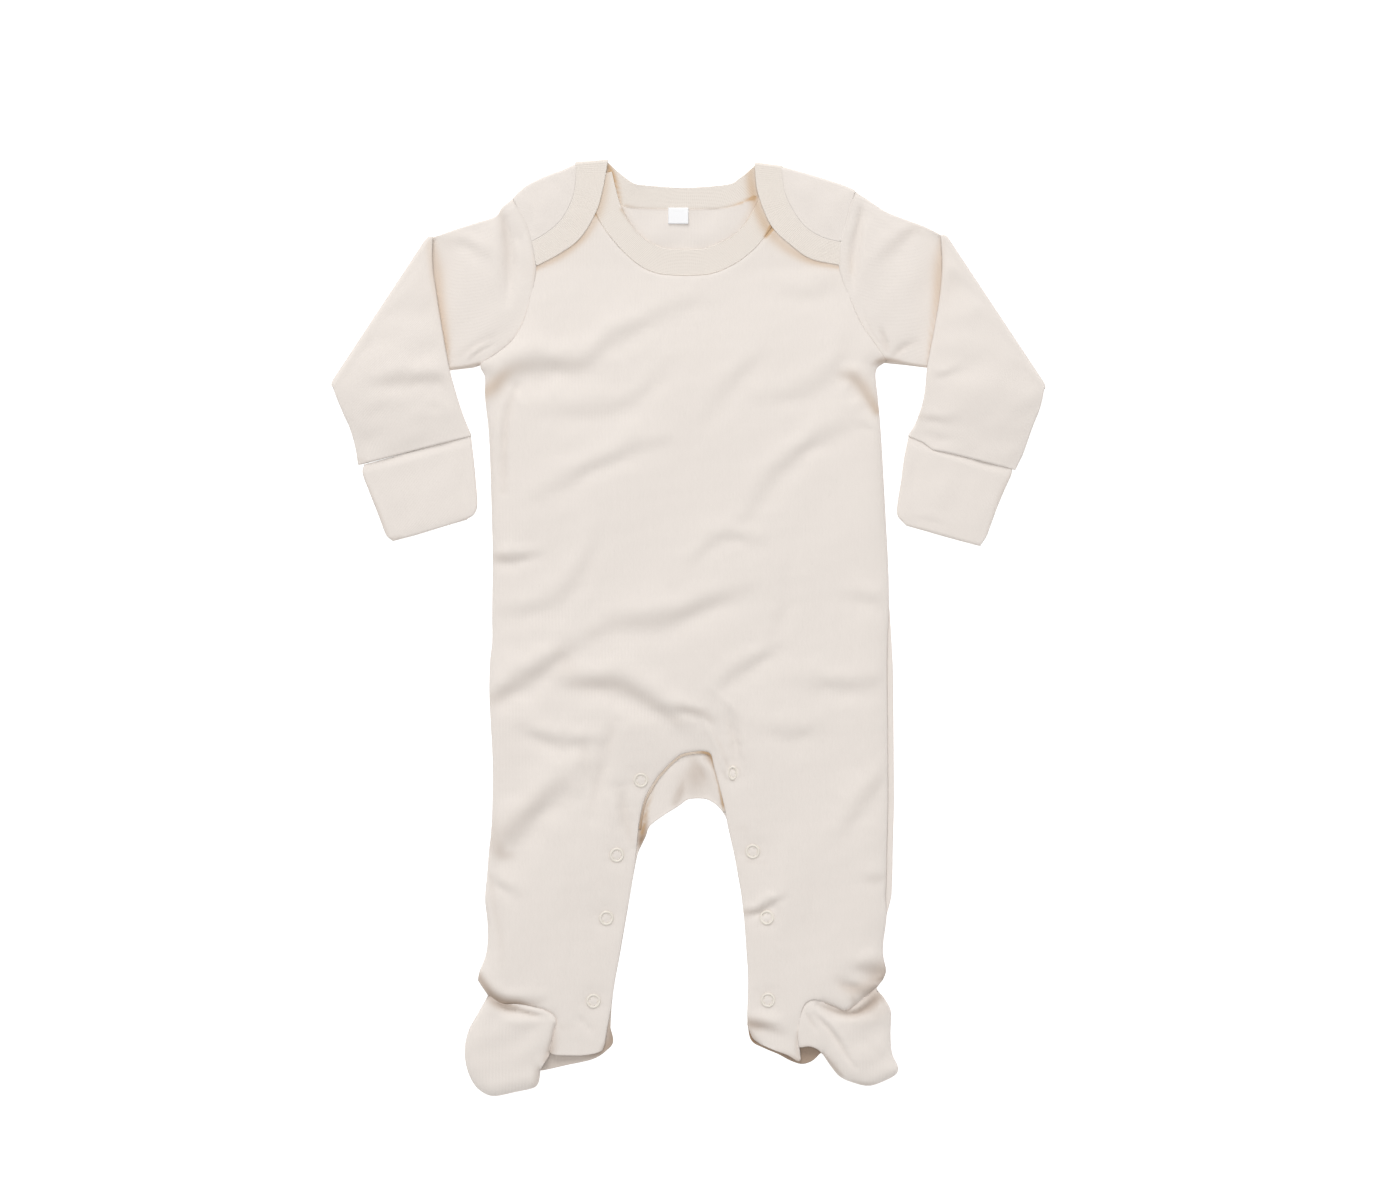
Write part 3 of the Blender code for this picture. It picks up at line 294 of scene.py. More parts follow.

# Painted shade
DARK_SHARE = 0.433  # of the dark painted shade colour at a depth of 1
FOLD_SHADE = 0.03  # how much of the painted shade colour the open folds take

# The least share of its flat size that a sheet's area may be.
LEAST_FILL = 0.31

# How closely the cloth's points stand, and how many stand across and round.
PITCH = 2.1
BACK_PITCH = PITCH * 1.15
FOOT_PITCH = 1.6
SOLE_PITCH = 2.0
OUTLINE_PITCH = 1.6
ROW_PITCH = 1.3
CLOSEST = 0.35  # to the outline
TRIANGLE_HEIGHT = 0.866  # of an even-sided triangle, over its side
HEM_ROWS = (0.55, 1.2, 2.0, 3.1)
STITCH_ROWS = (-2.4, -1.2, -0.4, 0.4, 1.2, 2.4)
POPPER_RINGS = (0.0, 1.1, 2.2, 3.1, 3.9, 4.7, 5.7, 7.0)
TUBE_COLUMNS = 54
BAND_COLUMNS = 14
ELBOW_ROWS = 9
UPPER_STEPS = 9  # between two sections
FOREARM_STEPS = 10
CUFF_STEPS = 12

# Each light's place and width in metres, and the place that they are turned to.
LIGHTS = {"key": ((-0.5, 3.2, 2.3), 2.2), "overhead": ((0.0, -0.1, 4.5), 2.8)}
LIT_PLACE = (0.0, 0.02, 0.0)
# The camera looks straight down on the middle of its view.
VIEW_CENTRE = (7.0, 18.3)
VIEW_WIDTH = 882.0
CAMERA_LENS = 85.0
WHITE = (1.0, 1.0, 1.0, 1.0)

# How far the front's middle rises, in rows of (level up the suit, rise).
LOFT = (
    (-275, 3.4), (-232, 3.8), (-215, 4), (-150, 4.2), (-90, 4.2), (0, 4.6), (120, 4.4),
    (175, 3.6), (205, 2), (228, 0.4), (290, 0.2),
)

# Relief on the cloth. A crease is a ridge on the left of its line with a trough on its right; a
# ridge is even about its line, and a trough is a ridge of negative height. The columns are the
# kind, the line, the distance from the line to the ridge (or the ridge's half width), and the
# height, for a crease from the trough to the ridge.
FRONT_RELIEF = (
    ("crease", ((-128, 145), (-122, 154), (-113, 162), (-98, 166), (-80, 166.5), (-64, 167)), 8, 4.4),
    ("crease", ((-66, 167), (-57, 176), (-48, 183), (-36, 189), (-22, 196)), 6, 2.4),
    ("crease", ((-20, 197), (-4, 204), (14, 209)), 6, 1),
    ("crease", ((-90, 137), (-60, 138), (-40, 142), (-28, 151), (-14, 166)), 6, 1.6),
    ("crease", ((12, 136), (20, 147), (29, 158), (38, 167), (46, 176)), 6, 1.4),
    ("crease", ((48, 145), (64, 148), (76, 152), (87, 160), (95, 172), (99, 186)), 6, 1.5),
    ("crease", ((-94, 84), (-78, 93), (-62, 102), (-46, 109), (-34, 115), (-18, 118)), 5.5, 2),
    ("crease", ((37, 72), (45, 86), (54, 98), (67, 110), (81, 120), (103, 131)), 6, 2.4),
    ("crease", ((4, 44), (13, 54), (24, 59), (42, 56)), 4.5, 1.6),
    ("crease", ((-129, 44.5), (-114, 44.5), (-97, 47)), 3.8, 2.4),
    ("crease", ((-122, 11), (-100, 13), (-84, 19), (-72, 32), (-64, 46), (-57, 62)), 6, 1.9),
    ("crease", ((-128, -46), (-110, -35), (-94, -25), (-74, -11)), 6.5, 4.2),
    ("crease", ((-58, -2), (-44, 4), (-26, 5), (-8, 8), (10, 16), (36, 25)), 7, 2.9),
    ("crease", ((-78, -33), (-60, -33), (-44, -34), (-30, -41), (-16, -50), (-4, -60)), 7, 4.4),
    ("crease", ((-12, -48), (2, -51), (14, -56)), 3.4, 1.8),
    ("crease", ((17, -37), (30, -27), (44, -18), (56, -11)), 5, 2),
    ("crease", ((-104, -62), (-90, -68), (-76, -70.5), (-58, -70)), 5, 2.6),
    ("crease", ((-126, -146), (-112, -131), (-98, -115), (-86, -103), (-70, -90)), 8, 4.2),
    ("crease", ((-126, -154), (-118, -160), (-108, -166)), 3.4, 1.6),
    ("crease", ((70, -34), (88, -34), (102, -35), (124, -32)), 6, 2),
    ("crease", ((48, -62), (64, -65), (82, -63)), 6, 1.6),
    ("crease", ((98, -126), (105, -115), (113, -103), (124, -90)), 6, 2.2),
    ("crease", ((33, -179), (43, -177), (50, -172.5), (58, -168)), 2.8, 2.4),
    ("crease", ((99, 160), (105, 158), (110, 151), (114, 143), (119, 134)), 4, 3.4),
    ("crease", ((100, 21), (110, 20), (124, 18)), 5, 1.4),
    ("crease", ((52, 214), (74, 212), (98, 220)), 6, 1.2),
    ("crease", ((110, -156), (124, -156)), 4, 1.2),
    ("crease", ((-131, -219), (-124, -227), (-115, -232), (-104, -233), (-92, -232)), 3, 1.8),
    ("crease", ((104, -212), (114, -212), (126, -213)), 5, 2.6),
    ("crease", ((104, -232), (111, -229), (120, -223)), 2.6, 2),
    ("trough", ((95, -222), (102, -225), (109, -228)), 3.4, -2),
    ("crease", ((32, -247), (44, -248), (58, -252)), 3.4, 2.4),
    ("trough", ((-108, 153), (-114, 136), (-116, 120), (-116.5, 86)), 2.2, -1.8),
    ("ridge", ((-121, 140), (-120, 110)), 3, 0.7),
    ("ridge", ((-72, -82), (-71, -110)), 6, 0.7),
    ("trough", ((-66, -72), (-65, -90), (-64, -106)), 4, -1),
    ("trough", ((-46, -58), (-52, -78), (-57, -98), (-60, -118)), 5, -1.7),
    ("trough", ((-42, -100), (-40.5, -116), (-37.5, -128), (-35, -138)), 4, -2),
    ("ridge", ((-49, -106), (-47, -124)), 3, 0.6),
    ("trough", ((-72, -150), (-73, -180), (-72, -205)), 6, -0.7),
    ("ridge", ((60, -130), (58, -165), (60, -200)), 5, 0.7),
    ("trough", ((76, -150), (78, -185), (82, -212)), 6, -0.7),
    ("trough", ((62, 36), (61, 12), (54, -10)), 6, -1.1),
    ("trough", ((-123, -158), (-119, -182), (-117, -208)), 3.4, -0.9),
    ("ridge", ((9, -58), (14, -66), (19, -77), (24, -92)), 2, 1),
    ("trough", ((26, -56), (29, -70), (29.5, -88)), 3.4, -1.8),
    ("ridge", ((34, -58), (36, -84)), 3, 0.6),
    ("ridge", ((12, -36), (24, -46), (36, -58)), 1.8, 0.5),
    ("crease", ((108, 129), (120, 125)), 2.2, 0.8),
    ("trough", ((-69, -244), (-61, -254)), 2.2, -0.8),
    ("trough", ((68.5, -254), (68, -264), (69, -270)), 1.6, -1.2),
)
FLAP_RELIEF = (
    ("trough", ((-98, 282), (-97, 266), (-100, 250)), 2.6, -0.7),
    ("ridge", ((-101, 268), (-96, 256), (-91, 250)), 4, 0.5),
    ("trough", ((-86, 284), (-80, 272)), 3, -0.4),
)
BACK_RELIEF = (
    ("trough", ((-2, -80), (-3, -94), (-2, -108)), 4, -0.8),
    ("trough", ((5, -80), (8, -92), (6, -106)), 4, -0.8),
    ("ridge", ((-9, -84), (-14, -104)), 5, 0.9),
    ("ridge", ((14, -84), (17, -104)), 3, 0.9),
    ("crease", ((-40, 246), (-10, 242), (30, 247)), 6, 0.7),
    ("ridge", ((-2, -80), (6, -81), (12, -88), (16, -98), (19, -108)), 1.8, 0.7),
)
UPPER_SLEEVE_RELIEF = {
    "left": (
        ("trough", ((-116.5, 264), (-113.8, 248), (-112.6, 234), (-113, 218), (-114, 206)), 3.6, -2.2),
        ("ridge", ((-125, 252), (-122, 230), (-122, 212)), 4, 0.7),
        ("trough", ((-109, 252), (-106, 240)), 2.4, -0.7),
        ("crease", ((-150, 245), (-140, 243), (-130, 237), (-124, 232)), 4, 1.3),
        ("trough", ((-144, 171), (-137, 177), (-128, 182), (-121, 184)), 1.6, -0.6),
        ("trough", ((-136, 171), (-129, 176), (-122, 179)), 1.4, -0.45),
        ("ridge", ((-140, 170), (-133, 176), (-125, 180)), 1.4, 0.6),
    ),
    "right": (
        ("trough", ((109.4, 268), (107.2, 252), (104.8, 240), (103.6, 228), (102.8, 216)), 3.2, -2.2),
        ("ridge", ((113, 256), (110, 240), (109, 224)), 3.4, 0.6),
        ("crease", ((118, 232), (127, 240), (135, 248), (145, 256)), 4.5, 1.5),
        ("trough", ((121, 188), (123.5, 181), (125, 175)), 1.8, -1.3),
        ("trough", ((129, 171.5), (133, 176), (142, 181)), 1.8, -1.2),
        ("trough", ((109, 202), (112, 194), (116, 187)), 1.4, -0.4),
    ),
}
FOREARM_RELIEF = {
    "left": (
        ("crease", ((-196, 156), (-182, 157), (-166, 158), (-148, 159)), 5, 2.2),
        ("crease", ((-176, 198), (-160, 197)), 7, 0.6),
        ("trough", ((-166, 140), (-156, 138)), 3, -0.5),
    ),
    "right": (
        ("crease", ((150, 161), (159, 160), (170, 164.5)), 2.4, 1),
        ("crease", ((143, 134), (152, 133), (164, 132)), 2.4, 0.9),
        ("crease", ((144, 124.5), (158, 124), (170, 122)), 2.6, 0.6),
        ("crease", ((176, 204), (190, 200), (204, 190)), 7, 0.5),
    ),
}
CUFF_RELIEF = {
    "left": (
        ("trough", ((-196, 90), (-188, 70)), 5, -0.3),
        ("trough", ((-144, 98), (-142, 84)), 3, -0.3),
    ),
    "right": (
        ("trough", ((142, 104), (141, 84)), 4, -0.4),
        ("crease", ((142, 70), (150, 70), (160, 67)), 2.4, 0.4),
    ),
}
FOOT_RELIEF = {
    "left": (
        ("trough", ((-124, -233), (-116, -239), (-106, -241), (-94, -243)), 2, -1.6),
        ("ridge", ((-104, -239), (-96, -239.8), (-89, -241.6)), 1.2, 0.5),
        ("ridge", ((-117, -246), (-106, -247), (-94, -247)), 3, 0.7),
    ),
    "right": (
        ("trough", ((81, -236), (88, -239.5), (95, -242), (104, -242), (112, -238.5),
         (119, -232)), 2.6, -3),
        ("trough", ((73, -240), (77, -247), (80, -252)), 1.4, -1),
        ("trough", ((79, -242), (88, -251), (94, -259), (99, -268), (105, -276)), 1.8, -1.4),
        ("ridge", ((84, -242), (92, -251), (98, -261)), 2.2, 0.8),
        ("trough", ((110, -259), (120, -269)), 4, -0.6),
        ("trough", ((99, -245), (110, -247), (122, -244)), 3, 0.5),
    ),
}

# Painted shadow, warm or dark, low in the cloth's folds and under its edges. A stroke's rows are x,
# y, its half width and how much of the painted shade colour it takes.
FRONT_SHADOWS = (
    ((-127, 149, 5, 0.7), (-122.5, 152, 5.2, 0.75), (-116.5, 159, 4.2, 0.55), (-108, 164.5, 4.4, 0.2),
     (-90, 166.5, 5, 0.12), (-70, 166.5, 5, 0.1)),
    ((-109, 152, 2.4, 0.1), (-113.6, 136, 2.6, 0.16), (-115.6, 120, 2.6, 0.16), (-116.4, 86, 2.6, 0.14)),
    ((97, 160, 4, 0.2), (103, 158.5, 4.8, 0.46), (109, 152.5, 4.6, 0.54), (113, 146, 3.8, 0.6),
     (118, 137, 2.8, 0.8)),
    ((115.5, 166.5, 1.6, 0.4), (120, 168.4, 2.2, 1.3), (125, 169.8, 2.2, 1.5)),
    ((-125, 45.5, 3.4, 0.5), (-118, 45.3, 3, 0.34), (-108, 45.2, 3, 0.14), (-99, 47, 2.5, 0.06)),
    ((-126, -44, 4.4, 0.4), (-118, -41, 4.4, 0.24), (-108, -34, 4, 0.1), (-90, -24, 4, 0.08),
     (-74, -12, 3.4, 0.08)),
    ((-72, -34, 4.4, 0.16), (-60, -34.5, 5, 0.2), (-45, -35, 5, 0.2), (-30, -42, 4.2, 0.16),
     (-18, -50, 3.6, 0.16), (-7, -58, 3, 0.16)),
    ((-82, -13, 5, 0.1), (-76, -24, 6, 0.14), (-70, -33, 5, 0.1)),
    ((-60, -2, 5, 0.06), (-42, 5, 6, 0.06), (-24, 5, 5, 0.06), (0, 12, 4, 0.06), (34, 24, 4, 0.04)),
    ((-8, -49, 2.5, 0.1), (2, -51.5, 2.6, 0.26), (9, -53, 2.4, 0.26), (15, -58, 1.8, 0.16)),
    ((-123, -123, 6, 0.3), (-121.5, -133, 6.5, 0.42), (-118, -141, 4, 0.55), (-112, -142, 2.6, 0.3)),
    ((-116, -128, 7.5, 0.26), (-106, -119, 6.5, 0.16), (-95, -108, 5, 0.12), (-74, -91, 3, 0.06)),
    ((-66, -74, 3.6, 0.08), (-64, -86, 3.6, 0.08), (-61, -98, 3, 0.03)),
    ((-47, -60, 3.6, 0.06), (-53, -80, 3.6, 0.08), (-58, -98, 3, 0.08), (-60, -114, 2.4, 0.04)),
    ((-42, -102, 2.8, 0.08), (-40.5, -116, 3.2, 0.2), (-38, -127, 2.6, 0.22), (-35, -136, 1.8, 0.16)),
    ((-124.5, -155, 1.4, 0.16), (-122.8, -170, 1.6, 0.16), (-119.8, -184, 2, 0.14),
     (-117.6, -198, 2.4, 0.12), (-117, -212, 2.4, 0.08)),
    ((15, -63, 1, 0.12), (20.4, -75, 1.2, 0.24), (24.2, -85, 1.2, 0.26)),
    ((34, -178.5, 2.4, 0.6), (42, -177, 1.9, 0.42), (49, -173, 1.5, 0.3), (57, -169, 1.2, 0.1)),
    ((26, -124, 2.5, 0.06), (35, -125, 2.5, 0.10)),
    ((37, -146, 1.4, 0.1), (48, -147, 1.4, 0.1)),
    ((25.5, -58, 2.4, 0.04), (28, -72, 2.6, 0.08), (28, -82, 2.6, 0.08)),
    ((120, -94, 5, 0.06), (110, -106, 4, 0.06), (98, -125, 2, 0.03)),
    ((124, -155, 2.5, 0.14), (113, -158, 2.5, 0.07)),
    ((125, -216, 8, 1.25), (117.5, -215.2, 7, 0.9), (109, -213, 4.6, 0.3)),
    ((93, -220, 3, 0.1), (98, -224.4, 3.6, 0.55), (104, -226.6, 4.6, 0.8), (110, -226.6, 5.6, 0.95),
     (116, -225.6, 5.6, 1.1)),
    ((102, -228, 2.6, 0.5), (104, -233, 2.6, 0.55), (103, -237, 2, 0.4)),
    ((110, -219.6, 3.4, 0.3), (117, -220.6, 4, 1), (123, -219.4, 4, 1.5)),
    ((35, -247.4, 3.6, 1.2), (43, -249, 3.8, 1.1), (50, -249.6, 3, 0.6), (58, -253, 2.4, 0.12)),
    ((37.6, -253, 2.8, 0.9), (41, -258.6, 2.4, 0.9), (45, -261, 1.2, 0.5)),
    ((56, -265.6, 1.2, 0.4), (63, -269, 2, 0.9), (69.5, -272, 2.2, 1)),
    ((68.5, -255, 1, 0.14), (68, -262, 1.3, 0.34), (69, -268, 1.8, 0.6)),
    ((-50, -248, 1, 0.2), (-51.6, -257, 1.2, 0.6), (-53.6, -262, 1.2, 0.6), (-60, -267.5, 0.8, 0.4),
     (-84, -268, 0.8, 0.3)),
    ((-133, -217, 2.6, 1.2), (-128.5, -224, 3, 1.4), (-123, -230.5, 3.4, 1.6), (-116, -234.6, 3.8, 1.7),
     (-107, -235.4, 3.2, 1.6), (-100, -235.4, 2.2, 0.7), (-91, -234.4, 1.6, 0.1)),
    ((-83.5, -248, 1.2, 0.2), (-84, -256, 2.4, 0.4), (-86, -264, 2.8, 0.8), (-87.6, -267, 2.8, 1)),
    ((-82, -249.5, 2.4, 0.16), (-75, -251, 2.2, 0.06)),
)
FLAP_SHADOWS = (
    ((-51, 291, 1.6, 0.3), (-53.4, 277, 3.2, 0.4), (-57, 263.5, 3.6, 0.42), (-62, 252.6, 2.8, 0.42),
     (-68.2, 245, 2.6, 0.55), (-80.6, 235, 2.4, 0.5), (-96, 227, 1.6, 0.5)),
    ((38.6, 288, 3.6, 0.5), (40, 276, 3.6, 0.66), (43.6, 264, 3.8, 0.56), (49.4, 252.5, 4, 0.62),
     (56.4, 244.6, 4, 0.46), (64.6, 238, 3.4, 0.48), (77.4, 231.6, 2.6, 0.55), (94, 227.6, 1.4, 0.5)),
    ((-57, 258, 1, 0.3), (-59.6, 262, 1.5, 1.2)),
    ((48.6, 247.4, 1.6, 1), (52, 252.4, 2.2, 1.8)),
)
NECK_SHADOWS = (
    ((-50.4, 291, 2.2, 0.9), (-48.2, 284.5, 2.4, 1.2), (-45, 274, 1.8, 0.7), (-41, 264, 1.2, 0.24),
     (-34, 254, 1, 0.1), (-24, 245, 1, 0.06)),
    ((41, 267, 1.4, 0.3), (35.6, 258.6, 1.2, 0.14), (27, 249, 1.2, 0.08)),
    ((34, 269.4, 1.1, 0.2), (41, 271.5, 2, 1.5)),
    ((-40, 266.6, 0.9, 0.6), (-30, 265, 0.9, 0.5), (-13, 264.4, 0.9, 0.45), (8, 264.5, 0.9, 0.45),
     (22, 265.4, 0.9, 0.5), (34, 268.6, 0.9, 0.6)),
)
NECK_EDGE_SHADOWS = (
    ((-42, 264, 1.3, 0.7), (-36, 255.4, 1.3, 0.6), (-28, 247, 1.3, 0.5), (-18, 241.2, 1.2, 0.06)),
    ((40.5, 266, 1.3, 0.7), (35, 257, 1.3, 0.6), (27, 248.4, 1.3, 0.5), (19, 242.4, 1.2, 0.06)),
)
CROTCH_SHADOWS = (
    ((3.4, -83.5, 3.2, 0.5), (4.2, -89, 6.6, 0.74), (4.2, -95, 9, 0.7), (3.6, -100, 9.4, 0.42),
     (3, -106, 9, 0.18)),
    ((5, -85, 2.4, 0.6), (7.6, -89, 2.6, 0.85), (9, -93.6, 2.6, 0.8)),
    ((-3, -94, 2.6, 0.4), (-4.8, -101, 3, 0.8), (-7, -106, 2.8, 0.8), (-8.6, -109.6, 2.4, 0.6)),
    ((13.4, -80, 3.2, 1.4), (16, -87, 1.8, 0.9), (19, -98, 1.2, 0.5), (22, -110, 1.8, 1.2)),
    ((-31.6, -139, 1.4, 0.8), (-30, -133, 2.6, 2.2), (-28.4, -127, 2.8, 2), (-27, -114, 1.4, 0.9),
     (-22.6, -100, 1, 0.3)),
)
FACING_SHADOWS = (
    ((6, -77.8, 1.6, 0.3), (13.2, -79, 2.6, 1.5), (16, -86, 2, 0.7), (19, -98, 1.2, 0.2),
     (22, -110, 2, 1.1)),
    ((-32, -136, 2.4, 1.6), (-30, -127, 2.6, 1.8), (-29, -114, 1.8, 1), (-25, -103, 1.2, 0.2)),
)
UPPER_SLEEVE_SHADOWS = {
    "left": (
        ((-162, 245, 2.6, 0.24), (-159, 226, 4.4, 0.36), (-157.4, 208, 4.2, 0.46),
         (-154.6, 190, 3.4, 0.5), (-152.6, 177, 2.4, 0.55), (-151.2, 167, 1.2, 0.5)),
        ((-152, 164, 1.1, 0.9), (-142, 165, 1, 0.9), (-132, 167, 1.2, 1)),
        ((-118.6, 262, 3, 0.3), (-116, 250, 3, 0.3), (-114.6, 236, 3, 0.26), (-114.6, 222, 2.8, 0.08)),
        ((-148, 171, 2.4, 0.08), (-136, 176, 3, 0.1), (-124, 183, 2.4, 0.06)),
        ((-137, 170, 1.8, 0.1), (-130, 175, 1.8, 0.1)),
    ),
    "right": (
        ((160.6, 246, 3, 0.2), (158.4, 232, 4.6, 0.36), (157, 218, 4, 0.44), (155.8, 206, 3, 0.42),
         (153.4, 190, 1.8, 0.3), (151, 166, 1.4, 0.4)),
        ((150.4, 165, 1, 0.8), (138, 167, 1.1, 0.9), (127, 169, 1.8, 1.3), (120, 169, 2.4, 1.6)),
        ((108, 264, 2, 0.12), (106, 252, 2.2, 0.14), (103.4, 240, 2.2, 0.14), (102, 224, 2, 0.06)),
        ((146, 256, 4, 0.12), (136, 248, 4.4, 0.1), (124, 237, 4, 0.05)),
        ((121.6, 187, 1.8, 0.16), (124.6, 176, 2.2, 0.28)),
        ((128.6, 172, 1.8, 0.22), (134, 176, 2.2, 0.2), (143, 181, 2, 0.08)),
        ((110.5, 197, 0.8, 0.1), (114, 189, 0.8, 0.14), (120.5, 180, 0.9, 0.16)),
    ),
}
FOREARM_SHADOWS = {
    "left": (
        ((-192, 156, 3, 0.04), (-176, 156.5, 4, 0.08), (-150, 158, 4, 0.08)),
        ((-209, 107, 1.8, 0.3), (-203, 105, 1.8, 0.2)),
        ((-163.4, 246, 1.6, 0.16), (-162.6, 238, 2.4, 0.2), (-161.2, 224, 2.2, 0.2),
         (-159.6, 212, 1.6, 0.16), (-157, 196, 0.9, 0.1)),
    ),
    "right": (
        ((144, 134, 1.8, 0.35), (152, 133, 1.8, 0.12), (164, 132, 1.8, 0.02)),
        ((160, 244, 1, 0.08), (159.6, 230, 1.2, 0.1), (158.4, 214, 1.2, 0.08), (156.6, 200, 0.8, 0.04)),
    ),
}
CUFF_SHADOWS = {
    "left": (
        ((-206, 99, 1.2, 0.3), (-200, 85, 1.3, 0.36), (-194.4, 72, 1.3, 0.36), (-190, 60, 1.4, 0.3)),
        ((-188, 56.4, 1.6, 0.4), (-182, 58, 1.2, 0.3)),
        ((-145, 68, 0.8, 0.2), (-139.4, 69, 1.2, 0.6)),
    ),
    "right": (
        ((202.4, 98, 1.4, 0.24), (197, 87, 1.8, 0.3), (192.6, 76, 1.4, 0.2), (187, 60, 1, 0.12)),
        ((138, 65.6, 0.8, 0.16), (182, 53.6, 0.8, 0.16)),
    ),
}
FOOT_SHADOWS = {
    "left": (
        ((-126, -231, 2.6, 0.9), (-121, -235.4, 2.8, 1.2), (-114, -238.4, 2.2, 1.2),
         (-106, -239.6, 1.7, 0.9), (-99, -241.4, 1.6, 0.7), (-93, -242.4, 1.2, 0.2)),
        ((-120, -235.4, 1.8, 1.4), (-113, -236.8, 1.5, 1.4), (-108, -237.6, 1.2, 0.9),
         (-105, -238, 0.8, 0.2)),
        ((-84.4, -248, 1.4, 0.2), (-85, -256, 2.4, 0.4), (-87, -264, 3, 0.8), (-90, -271, 2.4, 0.7)),
        ((-94.4, -277, 2.4, 0.5), (-95.4, -283, 2.6, 0.5), (-98, -288, 2, 0.3)),
    ),
    "right": (
        ((81, -235.4, 1.2, 0.3), (87, -238, 1.9, 0.7), (94, -240.6, 2.1, 0.9), (101, -241.6, 2.5, 1),
         (107, -240, 3.4, 1.2), (113, -236.6, 4.6, 1.3), (118.4, -231.6, 5, 1.3), (123, -234, 3.6, 0.5)),
        ((98, -245, 3, 0.1), (108, -244, 4, 0.2), (117, -241, 5, 0.3), (124, -238, 5, 0.3)),
        ((73.4, -241, 1, 0.12), (77, -247, 1.2, 0.2), (79.4, -251, 1, 0.08)),
        ((80, -243, 1, 0.1), (88, -251, 1.1, 0.16), (94, -259, 1.1, 0.16), (104, -275, 1, 0.05)),
        ((84.5, -267.4, 1.4, 0.6), (89, -272.6, 2, 0.9), (95.6, -280.4, 1.8, 0.7)),
        ((103, -284, 1, 0.3), (111, -286, 1.4, 0.5), (118, -285.4, 1, 0.2)),
        ((70.4, -263, 1.6, 0.6), (75.6, -262.2, 1.2, 0.6), (81, -264.4, 1.2, 0.6)),
    ),
}

# Where the painted shade takes the warm colour, a painted glow of light coming through between
# layers, in strokes as above.
WARM_LIGHT = (
    ((-50, 293, 12, 2), (-55, 268, 12, 2), (-67, 246, 10, 2), (-80, 236, 7, 2), (-98, 227, 7, 2)),
    ((39, 291, 12, 2), (43, 266, 12, 2), (55, 246, 10, 2), (76, 232, 7, 2), (97, 227, 7, 2)),
    ((-166, 250, 14, 2), (-160, 226, 12, 2), (-155, 200, 9, 2), (-152, 182, 5, 1.4), (-151, 172, 4, 0.6)),
    ((164, 250, 14, 2), (159, 226, 12, 2), (155, 200, 9, 2), (153, 182, 5, 1.4), (152, 172, 4, 0.6)),
    ((-129, 149, 7, 0.5), (-119, 158, 7, 0.45), (-106, 165, 6, 0.3)),
    ((99, 159, 6, 0.4), (109, 153, 6, 0.5), (119, 138, 6, 0.6)),
    ((-30, -128, 2.4, 0.6), (-22, -100, 2.6, 0.8), (-7, -81, 2.6, 0.8), (14, -79, 2.6, 0.8),
     (23, -112, 2.6, 0.8)),
)
SOLE_SHADE = {"left": 0.75, "right": 1.9}  # painted shade that they take all over, for they lie in shadow under the feet
SOLE_SHADOWS = {
    "left": (((-48, -250, 3, 0.9), (-49, -260, 4, 1), (-56, -266, 3, 0.8), (-66, -269, 2, 0.2)),),
    "right": (((38, -250, 3, 0.4), (41, -259, 3, 0.4)),),
}

# ------------------------------
# Curves and fields. A line is an array of points, its first two columns x and y.


def refined(rows, steps):
    """A Catmull-Rom curve through rows of numbers, with this many steps between each two."""
    knots = np.asarray(rows, float)
    knots = np.vstack([2 * knots[0] - knots[1], knots, 2 * knots[-1] - knots[-2]])
    out = []
    for a, b, c, d in zip(knots, knots[1:], knots[2:], knots[3:]):
        for share in np.arange(steps) / steps:
            bend = (2 * a - 5 * b + 4 * c - d) * share + (3 * b - a - 3 * c + d) * share**2
            out.append(0.5 * (2 * b + (c - a + bend) * share))
    out.append(knots[-2])
    return np.array(out)


def run_length(line, axes=2):
    """How far along a line each of its points is."""
    steps = np.diff(np.asarray(line, float)[:, :axes], axis=0)
    return np.concatenate([[0], np.cumsum(np.linalg.norm(steps, axis=1))])


def spread(line, spacing):
    """A line's points moved to about one spacing apart; every column is carried along."""
    line = np.asarray(line, float)
    run = run_length(line)
    at = np.linspace(0, run[-1], max(2, int(math.ceil(run[-1] / spacing)) + 1))
    return np.column_stack([np.interp(at, run, column) for column in line.T])


def smooth(points, spacing=1.5):
    """A curve through points, evenly spaced."""
    return spread(refined(points, 24), spacing)


def edge_line(table, side):
    """One side of an edge table as a smooth line, running down the suit."""
    column = 1 if side == "left" else 2
    return smooth([(row[column], row[0]) for row in table], 0.6)


def across(line, levels):
    """Where a line that runs up or down the suit crosses each level."""
    order = np.argsort(line[:, 1], kind="stable")
    return np.interp(levels, line[order, 1], line[order, 0])


def nearest(line, x, y):
    """Distance to a line, offset to its left, share along it and distance past its ends."""
    run = run_length(line)
    best = np.full(x.shape, np.inf)
    offset, share, past = np.zeros_like(x), np.zeros_like(x), np.zeros_like(x)
    for start, end, gone, length in zip(line[:, :2], line[1:, :2], run, np.diff(run)):
        if length < 1e-6:
            continue
        rx, ry = (end - start) / length
        dx, dy = x - start[0], y - start[1]
        reach = dx * rx + dy * ry
        inside = np.clip(reach, 0, length)
        gap = np.hypot(dx - rx * inside, dy - ry * inside)
        closer = gap < best
        best = np.where(closer, gap, best)
        offset = np.where(closer, rx * dy - ry * dx, offset)
        share = np.where(closer, (gone + inside) / run[-1], share)
        past = np.where(closer, np.abs(reach - inside), past)
    return best, offset, share, past


def gap_to(lines, x, y):
    """Distance to the nearest of several lines."""
    return np.minimum.reduce([nearest(line, x, y)[0] for line in lines])


def unit(vectors):
    """Vectors, along the last axis, brought to a length of 1."""
    return vectors / np.maximum(np.linalg.norm(vectors, axis=-1, keepdims=True), 1e-9)


